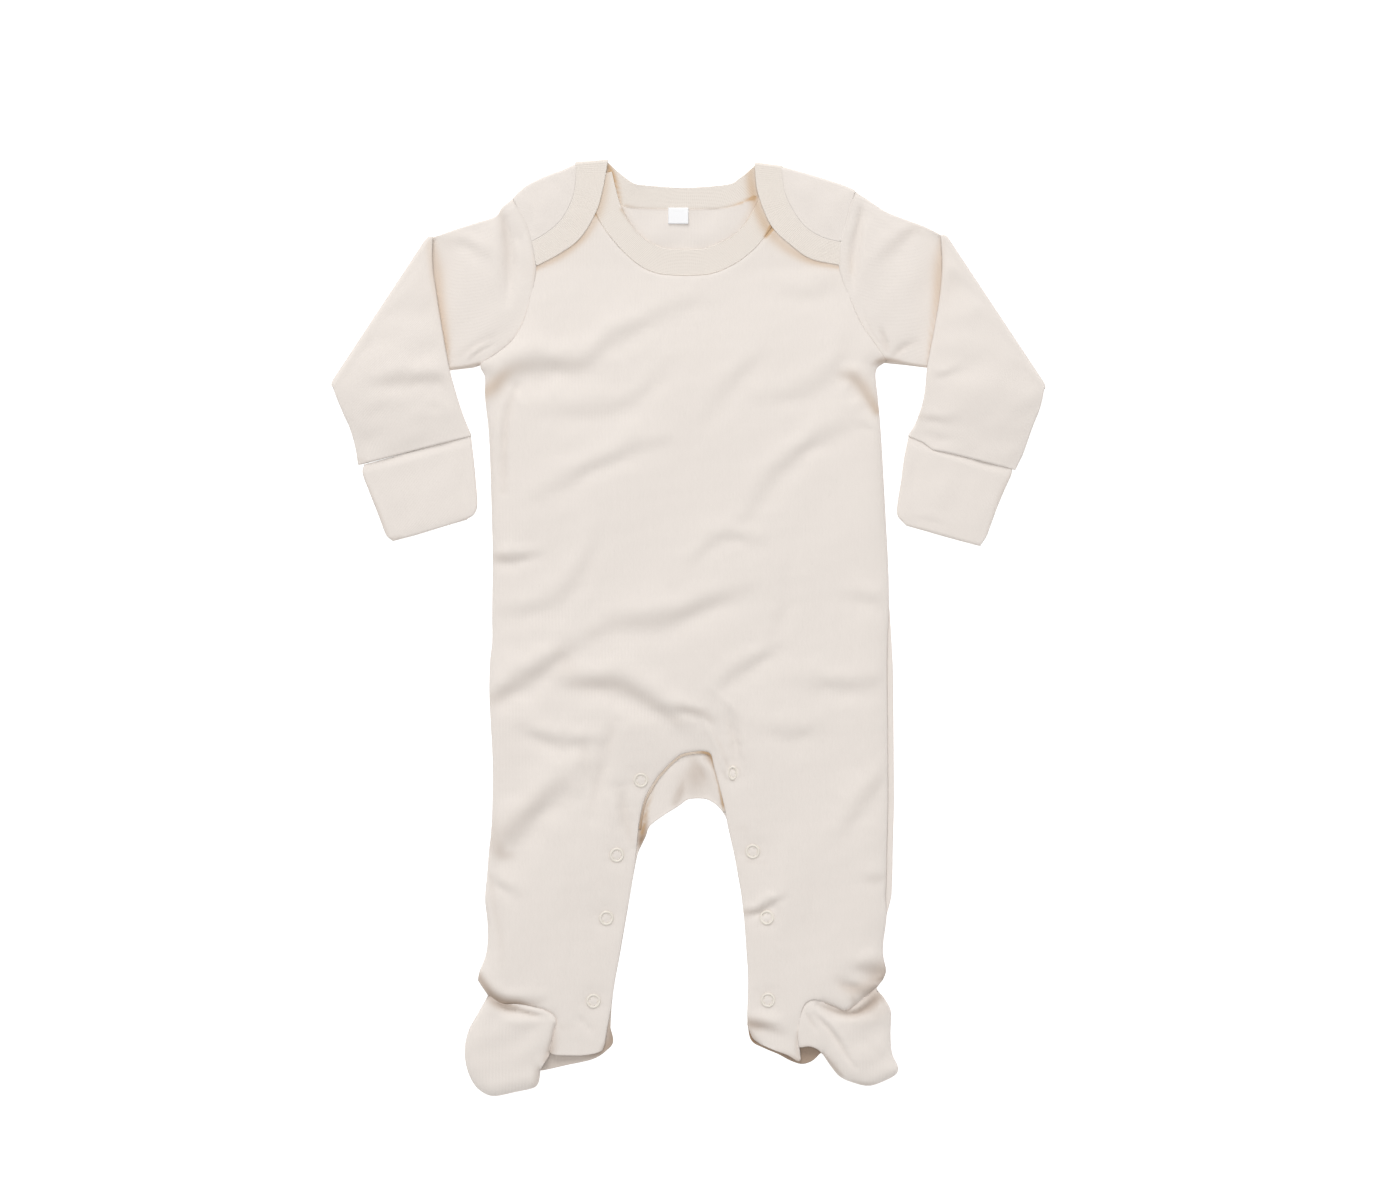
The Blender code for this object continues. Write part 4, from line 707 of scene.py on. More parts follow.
def beside(line, offset):
    """A line's points moved to its left by an offset."""
    run = unit(np.gradient(line, axis=0))
    return line + np.column_stack([-run[:, 1], run[:, 0]]) * offset


def ease(value):
    """A smooth step from 0 to 1."""
    value = np.clip(value, 0, 1)
    return value * value * (3 - 2 * value)


def bell(gap, width):
    """1 on a line, falling away to 0 within a few widths of it."""
    return np.exp(-((gap / width) ** 2))


def roll(reach, gap):
    """The share of its full rise that cloth has at a distance from its edge."""
    share = 1 - np.minimum(gap / reach, 1)
    return np.sqrt(np.maximum(1 - share * share, 0))


def round_about(line, reach, x, y):
    """Which points are within reach of a line's box."""
    low, high = line.min(0) - reach, line.max(0) + reach
    return (x > low[0]) & (x < high[0]) & (y > low[1]) & (y < high[1])


def relief(features, x, y):
    """Height of creases and ridges at each point, and the painted shade that each point takes
    deep in a crease's slope or in a trough.
    """
    height, shade = np.zeros_like(x), np.zeros_like(x)
    for kind, points, width, size in features:
        line = smooth(points, 3.0)
        near = round_about(line, 4 * width, x, y)
        if not near.any():
            continue
        gap, offset, share, past = nearest(line, x[near], y[near])
        wobble = 0.14 * np.sin(9 * share + points[0][0]) + 0.08 * np.sin(23 * share + points[0][1])
        reach = width * (1 + wobble)
        taper = np.sqrt(np.sin(math.pi * np.clip(share, 0.05, 0.95))) * bell(past, 1.4 * width)
        if kind == "crease":
            off = offset / reach
            height[near] += size / 2 * off * np.exp((1 - off * off) / 2) * taper
            shade[near] += bell(off, 1) * taper * size / 4
        else:
            bump = bell(gap, reach) * taper
            height[near] += size * bump
            shade[near] += 0.3 * bump * max(-size, 0)
    return height, shade


def shadow(strokes, x, y):
    """How much painted shadow, as a share of the shade colours, the strokes give each point."""
    shade = np.zeros_like(x)
    for rows in strokes:
        line = spread(refined(rows, 8), 1.0)
        near = round_about(line, 3 * line[:, 2].max(), x, y)
        if not near.any():
            continue
        gap, _, share, _ = nearest(line, x[near], y[near])
        run = run_length(line)
        width, depth = (np.interp(share, run / run[-1], line[:, k]) for k in (2, 3))
        shade[near] = np.maximum(shade[near], depth * bell(gap, width))
    return shade


def ripple(x, y, seed, wavelength, direction):
    """A smooth random field of about unit height, its ripples running along a direction."""
    draw = np.random.RandomState(seed)
    field = np.zeros_like(x)
    for _ in range(9):
        turn = math.radians(direction + 90) + draw.normal(0, 0.4)
        pitch = wavelength * draw.uniform(0.7, 1.6)
        phase = draw.uniform(0, math.tau)
        field += np.cos((x * math.cos(turn) + y * math.sin(turn)) * math.tau / pitch + phase)
    return field / 2.2


def outward(side):
    """The direction away from the body, square to a shoulder's fold."""
    first, last = np.array(SHOULDER_FOLD[side][0]), np.array(SHOULDER_FOLD[side][-1])
    run = (last - first) / np.linalg.norm(last - first)
    out = np.array((-run[1], run[0]))
    return out if out[1] > 0 else -out


def shoulder_line(side, inset):
    """A shoulder's fold line, moved in from the outline."""
    return smooth(SHOULDER_FOLD[side], 0.6) - outward(side) * inset


# ------------------------------
# The outlines' lines


def middle_of(node):
    """The middle of a node's box, as x and y in millimetres."""
    low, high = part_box(node)
    return (low.x + high.x) / 2 / MM, (low.y + high.y) / 2 / MM


SIDE = {side: edge_line(SIDES, side) for side in HALVES}
INSIDE = {side: edge_line(FRONT_INSIDE, side) for side in HALVES}
BACK_INSIDES = {side: edge_line(BACK_INSIDE, side) for side in HALVES}
FRONT_SEAM = smooth(
    [(row[1], row[0]) for row in FRONT_NECK] + [(row[2], row[0]) for row in FRONT_NECK[-2::-1]], 0.6
)
BACK_SEAMS = {side: edge_line(BACK_NECK, side) for side in HALVES}
FLAP_SEAMS = {side: smooth([strip[1] for strip in FLAP_BINDING[side]]) for side in HALVES}
FOOT_SEAMS = {side: smooth(LEG_END[side][: FOOT_SEAM_POINTS[side]]) for side in HALVES}
LEG_ENDS = {side: smooth(LEG_END[side]) for side in HALVES}
TOES = {side: smooth(TOE[side]) for side in HALVES}
HEELS = {side: smooth((TOE[side] + HEEL[side])[len(TOE[side]) - 1 :]) for side in HALVES}
ARMHOLES = {side: spread(line[line[:, 1] >= 160], 2.5) for side, line in SIDE.items()}
SIDE_SEAMS = {side: spread(line[line[:, 1] <= UNDERARM], 3.0) for side, line in SIDE.items()}
PLACKETS = {
    side: spread(np.vstack([INSIDE[side], np.array(LEG_END[side][:-3:-1], float)]), 2.5)
    for side in HALVES
}
PLACKET_LINE = np.vstack([PLACKETS["left"][::-1], PLACKETS["right"][1:]])
POPPERS = [f"popper_{side}_{number}" for side in HALVES for number in (1, 2, 3, 4)]
POPPER_CENTRES = [middle_of(node) for node in POPPERS]
# The first popper on the right lies nearly edge on, in a pleat.
POPPER_SIZES = [(0.62 if node == "popper_right_1" else 1, 1, 1) for node in POPPERS]


# ------------------------------
# The levels of the middles of the walls, and the painted shade at each point. In the formulas a gap
# is a distance from a seam or an edge, what divides it is how far the change takes, and what
# multiplies it is a height or an amount of painted shade.


def peeking(levels):
    """Where on the right side the back shows past the front, by level up the suit."""
    return ease((levels + 184) / 18) * ease((30 - levels) / 60)


def armhole_level(y):
    """The level at which the front, the flaps and the sleeves meet along an armhole."""
    return ARMHOLE_LEVEL + (FLAP_LEVEL - ARMHOLE_LEVEL) * ease((y - 220) / 14)


def popper_form(x, y):
    """How far the cloth is drawn down round the poppers, and up again within them."""
    form = np.zeros_like(x)
    for cx, cy in POPPER_CENTRES:
        gap = np.hypot(x - cx, y - cy)
        pucker = 1 + 0.5 * np.cos(5 * np.arctan2(y - cy, x - cx) + cx)
        form -= 0.7 * bell(gap, 7.5) + 0.14 * pucker * bell(gap - 7, 3)
        form += 0.55 * bell(gap, 2.2)
    return form


def popper_groove(x, y):
    """The painted shade in the grooves round the poppers' rings."""
    return sum(bell(np.hypot(x - cx, y - cy) - 4.9, 0.7) for cx, cy in POPPER_CENTRES)


def hemmed(level, gap):
    """The level of the front or a foot, with its edge rolled down."""
    level = level - HEM_DROP * np.clip(1 - gap / HEM_ROLL, 0, 1) ** 2
    return np.maximum(level, FRONT_LEVEL - HEM_LIMIT)


def front_surface(x, y):
    """The level of the front, and the painted shade of its creases and seams and of the shadows
    cast on it.
    """
    side_gap = gap_to(SIDE_SEAMS.values(), x, y)
    side_gap = np.maximum(side_gap - FRONT_DRAWN * peeking(y) * (x > 0), 0)
    inside_gap = nearest(PLACKET_LINE, x, y)[0]
    neck_gap = nearest(FRONT_SEAM[::3], x, y)[0]
    arm_gap = gap_to(ARMHOLES.values(), x, y)
    foot_gap = gap_to(FOOT_SEAMS.values(), x, y)
    rise = np.interp(y, *zip(*LOFT)) * roll(EDGE_ROLL, side_gap)
    rise = rise * np.minimum(1, inside_gap / PLACKET_ROLL) ** 0.8
    rise = rise * (0.4 + 0.6 * roll(ARMHOLE_ROLL, arm_gap))
    # The legs' ends come down to the foot seams, but hardly at the right vamp.
    held = 0.45 + 0.5 * ease((x - 50) / 10) * ease((86 - x) / 6)
    rise = rise * np.where(y < -200, held + (1 - held) * roll(7.0, foot_gap), 1)
    height, shade = relief(FRONT_RELIEF, x, y)
    fade = np.minimum(1, (side_gap + 0.5) / 6) * np.minimum(1, (inside_gap + 3) / 9)
    fade = fade * ease((234 - y) / 12)
    height, shade = height * fade, shade * fade
    fine = 0.22 * ripple(x, y, 11, 66, 48) + 0.035 * ripple(x, y, 12, 15, 40)
    fine = fine * fade * (0.5 + 0.5 * np.minimum(1, inside_gap / 30))
    level = np.maximum(FRONT_LEVEL, FRONT_LEVEL + rise + height + fine)
    # The placket is doubled and drawn in along its stitches.
    level += 0.06 * ease((PLACKET_WIDTH + 2.4 - inside_gap) / 4.8)
    level += 0.03 * np.sin((0.6 * x + y) * math.tau / 7.3) * bell(inside_gap - PLACKET_WIDTH, 3.0)
    level += popper_form(x, y)
    # Painted shade: a little in the open folds, and painted shadows in the deep creases and under the flaps'
    # edges.
    shade = FOLD_SHADE * shade + shadow(FRONT_SHADOWS, x, y) + shadow(FLAP_SHADOWS, x, y)
    shade += 0.2 * popper_groove(x, y)
    # The armholes' seams show near the shoulders, and the foot's seam is faint at the right vamp. Each
    # seam is a groove with painted shade along it.
    upper = ease((y - 206) / 24) * np.where(x > 0, 0.4, 1)
    open_seam = 0.3 + 0.7 * ease(np.maximum((x - 78) / 8, -x / 8))
    seams = (
        (neck_gap, 0.25, 0.04),
        (arm_gap, 0.04 * upper, 0.16 * upper),
        (foot_gap, 0.5 * open_seam, 0.16 * open_seam),
    )
    for gap, depth, painted_shade in seams:
        level -= depth * bell(gap, SEAM_GROOVE) - 0.3 * depth * bell(gap - 3, 1.6)
        shade += painted_shade * bell(gap, SEAM_GROOVE)
    return hemmed(level, np.minimum(side_gap, inside_gap)), shade


def back_surface(x, y):
    """The level of the back, which lies on the surface and puckers up a little where it shows."""
    rise = 0.35 + 0.35 * ripple(x, y, 21, 30, 75)
    shown = ease((y - 236) / 8) + ease((-80 - y) / 8) * ease((38 - np.abs(x)) / 8)
    height, shade = relief(BACK_RELIEF, x, y)
    level = BACK_LEVEL + np.maximum(0, rise + height) * np.minimum(shown, 1) * ease((292 - y) / 10)
    edge = gap_to(BACK_INSIDES.values(), x, y)
    # Painted shadows from the flaps, the neck and the crotch's edges, and a little painted shade low in the
    # crotch.
    cast = shadow(FLAP_SHADOWS + NECK_SHADOWS + CROTCH_SHADOWS, x, y)
    shade = FOLD_SHADE * shade + cast + 0.02 * ((y < -70) & (np.abs(x) < 34))
    # A strip shows past the front's right side, stands up a little along its edge and takes a little
    # painted shade.
    strip = (x > 90) & (y < 60)
    level += 0.55 * ease((6 - nearest(SIDE_SEAMS["right"], x, y)[0]) / 3) * strip
    shade = shade + 0.04 * strip
    return level + 0.25 * bell(edge, 1.2) * (y < -100), shade


def flap_surface(side, x, y):
    """The level of an envelope flap where it lies on the front."""
    seam_gap = nearest(FLAP_SEAMS[side], x, y)[0]
    arm_gap = nearest(ARMHOLES[side], x, y)[0]
    fold_gap = nearest(shoulder_line(side, 0.0)[::5], x, y)[0]
    gap = np.minimum(np.minimum(seam_gap, arm_gap), fold_gap)
    height, shade = relief(FLAP_RELIEF, x, y)
    level = FLAP_LEVEL + 0.8 * ease(gap / 16) + height * np.minimum(1, gap / 6)
    level += 0.12 * ripple(x, y, 31, 22, 60) * np.minimum(1, gap / 8)
    level -= 0.06 * bell(arm_gap, SEAM_GROOVE)
    # Painted shade along the binding's seam and along the armhole's seam.
    seams = 0.08 * bell(seam_gap, 1.0) * ease((y - 256) / 20)
    armhole_shade = 0.12 if side == "left" else 0.12 * ease((y - 254) / 14)
    return level, FOLD_SHADE * shade + seams + armhole_shade * bell(arm_gap, 0.8)


def foot_surface(side, x, y):
    """The level of a foot's top, domed between its toe and the foot seam."""
    toe_gap = nearest(TOES[side], x, y)[0]
    seam_gap = nearest(FOOT_SEAMS[side], x, y)[0]
    # The seam stands open towards the outside, and on the left foot at its lower end too.
    if side == "left":
        parted = ease((y + 233) / 4) + ease((-246 - y) / 5)
    else:
        parted = ease((x - 82) / 5)
    parted = 0.15 + 0.85 * np.clip(parted, 0, 1)
    base = 0.3 + 0.45 * (1 - parted)
    rise = FOOT_RISE * roll(FOOT_ROLL, toe_gap) * (base + (1 - base) * roll(FOOT_ROLL, seam_gap))
    height, shade = relief(FOOT_RELIEF[side], x, y)
    fade = np.minimum(1, toe_gap / 6)
    level = FRONT_LEVEL + rise + (height + 0.16 * ripple(x, y, 41, 20, 20)) * fade
    level -= 0.6 * parted * bell(seam_gap, 1.0)
    level += 0.25 * parted * bell(seam_gap - 2.6, 1.3)
    # Painted shade: a little in the open folds, painted shadows in the creases and under the leg's end, and
    # along the open seam.
    shade = FOLD_SHADE * shade * fade + shadow(FOOT_SHADOWS[side], x, y)
    shade += 0.14 * parted * bell(seam_gap, SEAM_GROOVE)
    return hemmed(level, toe_gap), shade


def sole_surface(side, x, y):
    """The level of a sole, its edge drawn up to the foot's top, and its painted shade, as it lies
    in shadow under the foot.
    """
    gap = np.minimum(nearest(TOES[side], x, y)[0], nearest(HEELS[side], x, y)[0])
    shade = SOLE_SHADE[side] + shadow(SOLE_SHADOWS[side], x, y)
    return BACK_LEVEL + 0.5 * bell(gap, 2.2), shade


# ------------------------------
# Cloth. Each sheet is its points, its faces, where each point is on the cut, and its painted shade.


def joined_line(pieces):
    """Pieces of outline end to end, evenly spaced, with their corners kept."""
    return np.vstack([spread(piece, OUTLINE_PITCH)[:-1] for piece in pieces])


def closed_outline(halves):
    """Both halves' pieces, each from the crotch round to the neck, as one closed outline."""
    right, left = halves["right"], [piece[::-1] for piece in halves["left"][::-1]]
    return joined_line(right + left)


def inside(outline, x, y):
    """Which points are inside a closed outline."""
    within = np.zeros(x.shape, bool)
    for (x1, y1), (x2, y2) in zip(outline, np.roll(outline, -1, axis=0)):
        if y1 == y2:
            continue
        crosses = (y1 > y) != (y2 > y)
        within ^= crosses & (x < x1 + (y - y1) * (x2 - x1) / (y2 - y1))
    return within


def round_spot(centre, radius, count):
    """Points round a centre, evenly spaced."""
    turns = np.linspace(0, math.tau, count + 1)[:-1]
    return np.column_stack([centre[0] + radius * np.cos(turns), centre[1] + radius * np.sin(turns)])


def filled(outline, pitch, rows, spots):
    """Points and triangles that fill an outline, closer together by its edge, rows and spots.

    A row is a line and the offsets to its left at which points stand beside it; a spot is a place
    and the radii of the rings of points round it.
    """
    ring = np.vstack([outline[-1:], outline, outline[:1]])
    closed = np.vstack([outline, outline[:1]])
    keepers = []
    for inset in HEM_ROWS:
        row = beside(ring, inset)[1:-1]
        keepers.append(row[nearest(closed, *row.T)[0] > 0.9 * inset])
    for line, offsets in rows:
        keepers += [beside(spread(line, ROW_PITCH), offset) for offset in offsets]
    for centre, radii in spots:
        keepers += [round_spot(centre, radius, max(1, int(radius * 5))) for radius in radii]
    low, high = outline.min(0), outline.max(0)
    down = np.arange(low[1], high[1], pitch * TRIANGLE_HEIGHT)
    gx, gy = np.meshgrid(np.arange(low[0], high[0], pitch), down)
    gx[1::2] += pitch / 2
    grid = np.column_stack([gx.ravel(), gy.ravel()])
    grid = grid[inside(outline, *grid.T)]
    grid = grid[nearest(closed, *grid.T)[0] > HEM_ROWS[-1] + 0.5 * pitch]
    for line, offsets in rows:
        reach = max(abs(offset) for offset in offsets) + 0.5 * pitch
        grid = grid[nearest(spread(line, 3.0), *grid.T)[0] > reach]
    for (cx, cy), radii in spots:
        grid = grid[np.hypot(grid[:, 0] - cx, grid[:, 1] - cy) > max(radii) + 0.5 * pitch]
    kept = np.vstack(keepers)
    kept = kept[inside(outline, *kept.T)]
    kept = kept[nearest(closed, *kept.T)[0] > CLOSEST]
    points = [Vector(point) for point in np.vstack([outline, kept, grid])]
    corners, _, faces, *_ = delaunay_2d_cdt(points, [], [list(range(len(outline)))], 1, 1e-4)
    corners, faces = np.array(corners), np.array(faces)
    a, b, c = (corners[faces[:, k]] for k in range(3))
    turned = np.cross(b - a, c - a) < 0
    faces[turned] = faces[turned][:, ::-1]
    return corners, faces.tolist()


def flat_cloth(outline, pitch, surface, rows=(), spots=()):
    """A sheet cut to an outline; the surface gives its levels, or its places where it is folded."""
    places, faces = filled(outline, pitch, rows, spots)
    points, shade = surface(*places.T)
    if points.ndim == 1:
        points = np.column_stack([places, points])
    return points, faces, places, shade


def grid_faces(shape, closed, turned):
    """Quads between neighbouring rows of a grid of points."""
    rows, columns = shape
    number = np.arange(rows * columns).reshape(rows, columns)
    after = np.roll(number, -1, axis=1)
    last = columns if closed else columns - 1
    quads = np.stack([number[:-1], after[:-1], after[1:], number[1:]], axis=2)[:, :last]
    quads = quads.reshape(-1, 4)
    return (quads[:, ::-1] if turned else quads).tolist()


def grid_cloth(grid, shade=None, closed=False, turned=False):
    """A sheet from a grid of points, its place on the cut measured along rows and columns."""
    steps = np.linalg.norm(np.diff(grid, axis=1), axis=2)
    u = np.concatenate([np.zeros((len(grid), 1)), np.cumsum(steps, axis=1)], axis=1)
    v = np.concatenate([[0], np.cumsum(np.linalg.norm(np.diff(grid, axis=0), axis=2).mean(axis=1))])
    places = np.stack([u - u[:, -1:] / 2, np.broadcast_to(v[:, None], u.shape)], axis=2)
    shade = np.zeros(grid.shape[:2]) if shade is None else shade
    faces = grid_faces(grid.shape[:2], closed, turned)
    return grid.reshape(-1, 3), faces, places.reshape(-1, 2), shade.ravel()


def framed(piece, nodes):
    """Put a piece in the scene and set it on the frame."""
    bpy.context.scene.collection.objects.link(piece)
    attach(piece, BODY)
    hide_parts(*nodes)
    return piece


def sewn(name, node, cloth, slot="interlock"):
    """A piece from its cloth, in its slot's finish and wall, in the place of its solid."""
    finish, wall = CLOTHS[slot]
    points, faces, places, shade = cloth
    data = bpy.data.meshes.new(name)
    data.from_pydata((points * MM).tolist(), [], faces)
    corners = np.zeros(len(data.loops), np.int32)
    data.loops.foreach_get("vertex_index", corners)
    cut = data.uv_layers.new(name="cut")
    cut.data.foreach_set("uv", (places[corners] * MM).astype(np.float32).ravel())
    # Painted shade at each point, and the share of it that takes the warm shade colour.
    warmth = np.clip(shadow(WARM_LIGHT, points[:, 0], points[:, 1]), 0, 1)
    for attribute, values in (("shade", shade), ("warmth", warmth)):
        layer = data.attributes.new(attribute, "FLOAT", "POINT")
        layer.data.foreach_set("value", values.astype(np.float32))
    data.shade_smooth()
    data.materials.append(finish_named(finish))
    piece = bpy.data.objects.new(name, data)
    if wall:
        shell = piece.modifiers.new("wall", "SOLIDIFY")
        shell.thickness = wall * MM
        shell.offset = 0
    return framed(piece, [node])


def laid(piece, faces=1):
    """Work out a piece's size on the cut and its area, at least a share of that size; a band's
    mesh has the cloth's two faces. Nothing uses them.
    """
    places = np.zeros(2 * len(piece.data.loops), np.float32)
    piece.data.uv_layers["cut"].data.foreach_get("uv", places)
    width, length = np.ptp(places.reshape(-1, 2), axis=0)
    area = sum(face.area for face in piece.data.polygons) / faces
    size = float(width) / faces, float(length)
    box = size[0] * size[1]
    area = min(max(area, LEAST_FILL * box), box)


# ------------------------------
# Shaders


class Value:
    """A shader socket that takes part in sums."""

    def __init__(self, finish, socket):
        self.finish, self.socket = finish, socket

    def maths(self, operation, first, second=0.0):
        return self.finish.node("ShaderNodeMath", {0: first, 1: second}, operation=operation)

    def __add__(self, other):
        return self.maths("ADD", self, other)

    def __sub__(self, other):
        return self.maths("SUBTRACT", self, other)

    def __rsub__(self, other):
        return self.maths("SUBTRACT", other, self)

    def __mul__(self, other):
        return self.maths("MULTIPLY", self, other)

    def sine(self):
        return self.maths("SINE", self)

    __radd__, __rmul__ = __add__, __mul__


class Nodes:
    """A node tree being made: node() adds any node, its settings first and then its inputs."""

    def feed(self, socket, value):
        value = getattr(value, "socket", value)
        if isinstance(value, bpy.types.NodeSocket):
            self.tree.links.new(value, socket)
        else:
            socket.default_value = value

    def node(self, kind, inputs=None, output=0, **settings):
        node = self.tree.nodes.new(kind)
        for name, value in settings.items():
            setattr(node, name, value)
        for name, value in (inputs or {}).items():
            self.feed(node.inputs[name], value)
        return node.outputs[output]


class Finish(Nodes):
    """A material being made; its nodes' outputs are values."""

    def __init__(self, name):
        self.material = bpy.data.materials.new(name)
        self.material.use_nodes = True
        self.tree = self.material.node_tree
        self.shader = self.tree.nodes["Principled BSDF"]

    def node(self, *inputs, **settings):
        return Value(self, super().node(*inputs, **settings))

    def shade(self, **values):
        for name, value in values.items():
            self.feed(self.shader.inputs[name.replace("_", " ")], value)

    def mixed(self, share, first, second):
        inputs = {"Factor": share, 6: first, 7: second}
        return self.node("ShaderNodeMix", inputs, output=2, data_type="RGBA")

    def clamped(self, value):
        return self.node("ShaderNodeMath", {0: value, 1: 0.0}, operation="ADD", use_clamp=True)

    def noise(self, vector, size, detail=2.0):
        """Noise about its middle, its lumps about one size across, in millimetres."""
        inputs = {"Vector": vector, "Scale": 1 / (size * MM), "Detail": detail}
        return self.node("ShaderNodeTexNoise", inputs) - 0.5

    def bump(self, height, distance, strength=1.0, normal=None):
        inputs = {"Strength": strength, "Distance": distance * MM, "Height": height}
        if normal:
            inputs["Normal"] = normal
        return self.node("ShaderNodeBump", inputs)

    def stored(self, name):
        """A number that is stored at each point."""
        return self.node("ShaderNodeAttribute", output=2, attribute_name=name)


def whole(colour):
    """A colour with its alpha."""
    return (*colour, 1.0)


def knit(name, colour, wale, course, depth):
    """A knitted cotton: wales and courses on the cut, a soft nap, and painted shade, warm or dark,
    in its creases and hollows.
    """
    finish = Finish(name)
    cloth = bpy.context.scene.sleepsuit_cloth
    place = finish.node("ShaderNodeUVMap", uv_map="cut")
    object_place = finish.node("ShaderNodeTexCoord", output=3)
    u, v = (finish.node("ShaderNodeSeparateXYZ", {0: place}, output=axis) for axis in (0, 1))
    drift = finish.noise(object_place, 9.0, 1.0)
    wales = (u * (math.tau / (wale * MM)) + drift * 1.2).sine()
    courses = (v * (math.tau / (course * MM)) + drift * 0.9).sine()
    nap = finish.noise(object_place, 0.8, 3.0)
    clouds = finish.noise(object_place, 22.0, 3.0)
    # The stored painted shade, with a little random mottling of the knit's tone.
    creases = finish.stored("shade") + clouds * 0.04 + nap * 0.04 + 0.02
    # Painted shade: where its warm share is set it takes the warm shade colour first; the rest of its
    # depth goes to the dark shade colour.
    warmth = finish.clamped(creases * finish.stored("warmth"))
    depth_left = finish.clamped((creases - warmth) * DARK_SHARE)
    warm = finish.mixed(warmth, whole(colour), whole(cloth.warm_shade_colour))
    finish.shade(
        Base_Color=finish.mixed(depth_left, warm, whole(cloth.dark_shade_colour)),
        Roughness=nap * 0.1 + 0.92,
        Sheen_Weight=0.12,
        Sheen_Roughness=0.6,
        Specular_IOR_Level=0.25,
    )
    fibres = finish.bump(nap, 0.12, 0.6)
    finish.shade(Normal=finish.bump(wales + courses * 0.5, depth, 1.0, fibres))
    return finish.material


def enamel(name, colour, worn):
    """The poppers' enamel, worn a little and with the cloth's own colour in places."""
    finish = Finish(name)
    place = finish.node("ShaderNodeTexCoord", output=3)
    wear = finish.noise(place, 1.6, 3.0)
    finish.shade(
        Base_Color=finish.mixed(wear + 0.5, whole(colour), whole(worn)),
        Roughness=wear * 0.2 + 0.4,
        Coat_Weight=0.15,
        Normal=finish.bump(finish.noise(place, 0.6, 2.0), 0.02),
    )
    return finish.material


def finish_named(name):
    """A finish by its name, made when it is first asked for."""
    cloth, trim = bpy.context.scene.sleepsuit_cloth, bpy.context.scene.sleepsuit_trim
    knits = {
        "cotton_interlock": (cloth.colour, cloth.wale, cloth.wale * 0.8, 0.03),
        "cotton_rib": (cloth.rib_colour, 0.9, 1.3, 0.05),
        "cotton_tape": (trim.label_colour, 0.5, 0.5, 0.03),
        "cotton_thread": (trim.thread_colour, 0.4, 0.4, 0.02),
    }
    found = bpy.data.materials.get(name)
    if found:
        return found
    if name in knits:
        return knit(name, *knits[name])
    return enamel(name, trim.popper_colour, cloth.colour)


# ------------------------------
# Geometry Nodes


class NodeTree(Nodes):
    """A Geometry Nodes tree being made, with named inputs for its sizes."""

    def __init__(self, name, **sizes):
        self.tree = bpy.data.node_groups.new(name, "GeometryNodeTree")
        face = self.tree.interface
        face.new_socket("Geometry", in_out="INPUT", socket_type="NodeSocketGeometry")
        face.new_socket("Geometry", in_out="OUTPUT", socket_type="NodeSocketGeometry")
        for size in sizes:
            label = size.replace("_", " ").capitalize()
            face.new_socket(label, in_out="INPUT", socket_type="NodeSocketFloat")
        self.given = self.tree.nodes.new("NodeGroupInput")
        self.sizes = sizes

    def __getitem__(self, name):
        return self.given.outputs[name]

    def circle(self, points, radius):
        return self.node("GeometryNodeCurvePrimitiveCircle", {"Resolution": points, "Radius": radius})

    def bead(self, segments, radius):
        inputs = {"Segments": segments, "Rings": 6, "Radius": radius}
        return self.node("GeometryNodeMeshUVSphere", inputs)

    def scaled(self, piece, scale):
        return self.node("GeometryNodeTransform", {"Geometry": piece, "Scale": scale})

    def joined(self, *pieces):
        join = self.tree.nodes.new("GeometryNodeJoinGeometry")
        for piece in pieces:
            self.feed(join.inputs[0], piece)
        return join.outputs[0]

    def stored(self, name):
        """A vector that is stored at each point."""
        return self.node("GeometryNodeInputNamedAttribute", {"Name": name}, data_type="FLOAT_VECTOR")

    def turned(self, axis, vector):
        return self.node("FunctionNodeAlignRotationToVector", {"Vector": vector}, axis=axis)

    def set_at(self, points, piece, **inputs):
        """A piece at each of the points, with its Rotation and Scale if they are given."""
        inputs = {"Points": points, "Instance": piece, **inputs}
        return self.node("GeometryNodeInstanceOnPoints", inputs)

    def made(self, source, geometry, finish):
        """End the tree, run it on an object's mesh, and give back the result as a plain mesh."""
        realized = self.node("GeometryNodeRealizeInstances", {0: geometry})
        painted = self.node("GeometryNodeSetMaterial", {0: realized, "Material": finish})
        self.feed(self.tree.nodes.new("NodeGroupOutput").inputs[0], painted)
        modifier = source.modifiers.new(self.tree.name, "NODES")
        modifier.node_group = self.tree
        sockets = [item for item in self.tree.interface.items_tree if item.in_out == "INPUT"]
        for socket, value in zip(sockets[1:], self.sizes.values()):
            modifier[socket.identifier] = value
        graph = bpy.context.evaluated_depsgraph_get()
        mesh = bpy.data.meshes.new_from_object(source.evaluated_get(graph))
        source.modifiers.remove(modifier)
        return mesh


def strung(name, lines):
    """An object of bare edges along lines of points in millimetres."""
    points, edges = [], []
    for line in lines:
        start = len(points)
        points += (np.asarray(line) * MM).tolist()
        edges += [(start + n, start + n + 1) for n in range(len(line) - 1)]
    data = bpy.data.meshes.new(name)
    data.from_pydata(points, edges, [])
    source = bpy.data.objects.new(name, data)
    bpy.context.scene.collection.objects.link(source)
    return source


def store(source, name, vectors):
    """Store a vector at each of an object's points."""
    layer = source.data.attributes.new(name, "FLOAT_VECTOR", "POINT")
    layer.data.foreach_set("vector", np.array(vectors, np.float32).ravel())


def placed(name, source, mesh, nodes=()):
    """Put a mesh made by Geometry Nodes in the place of its source, and set it on the frame."""
    bpy.data.objects.remove(source)
    mesh.name = name
    mesh.shade_smooth()
    return framed(bpy.data.objects.new(name, mesh), nodes)


# ------------------------------
# Panels


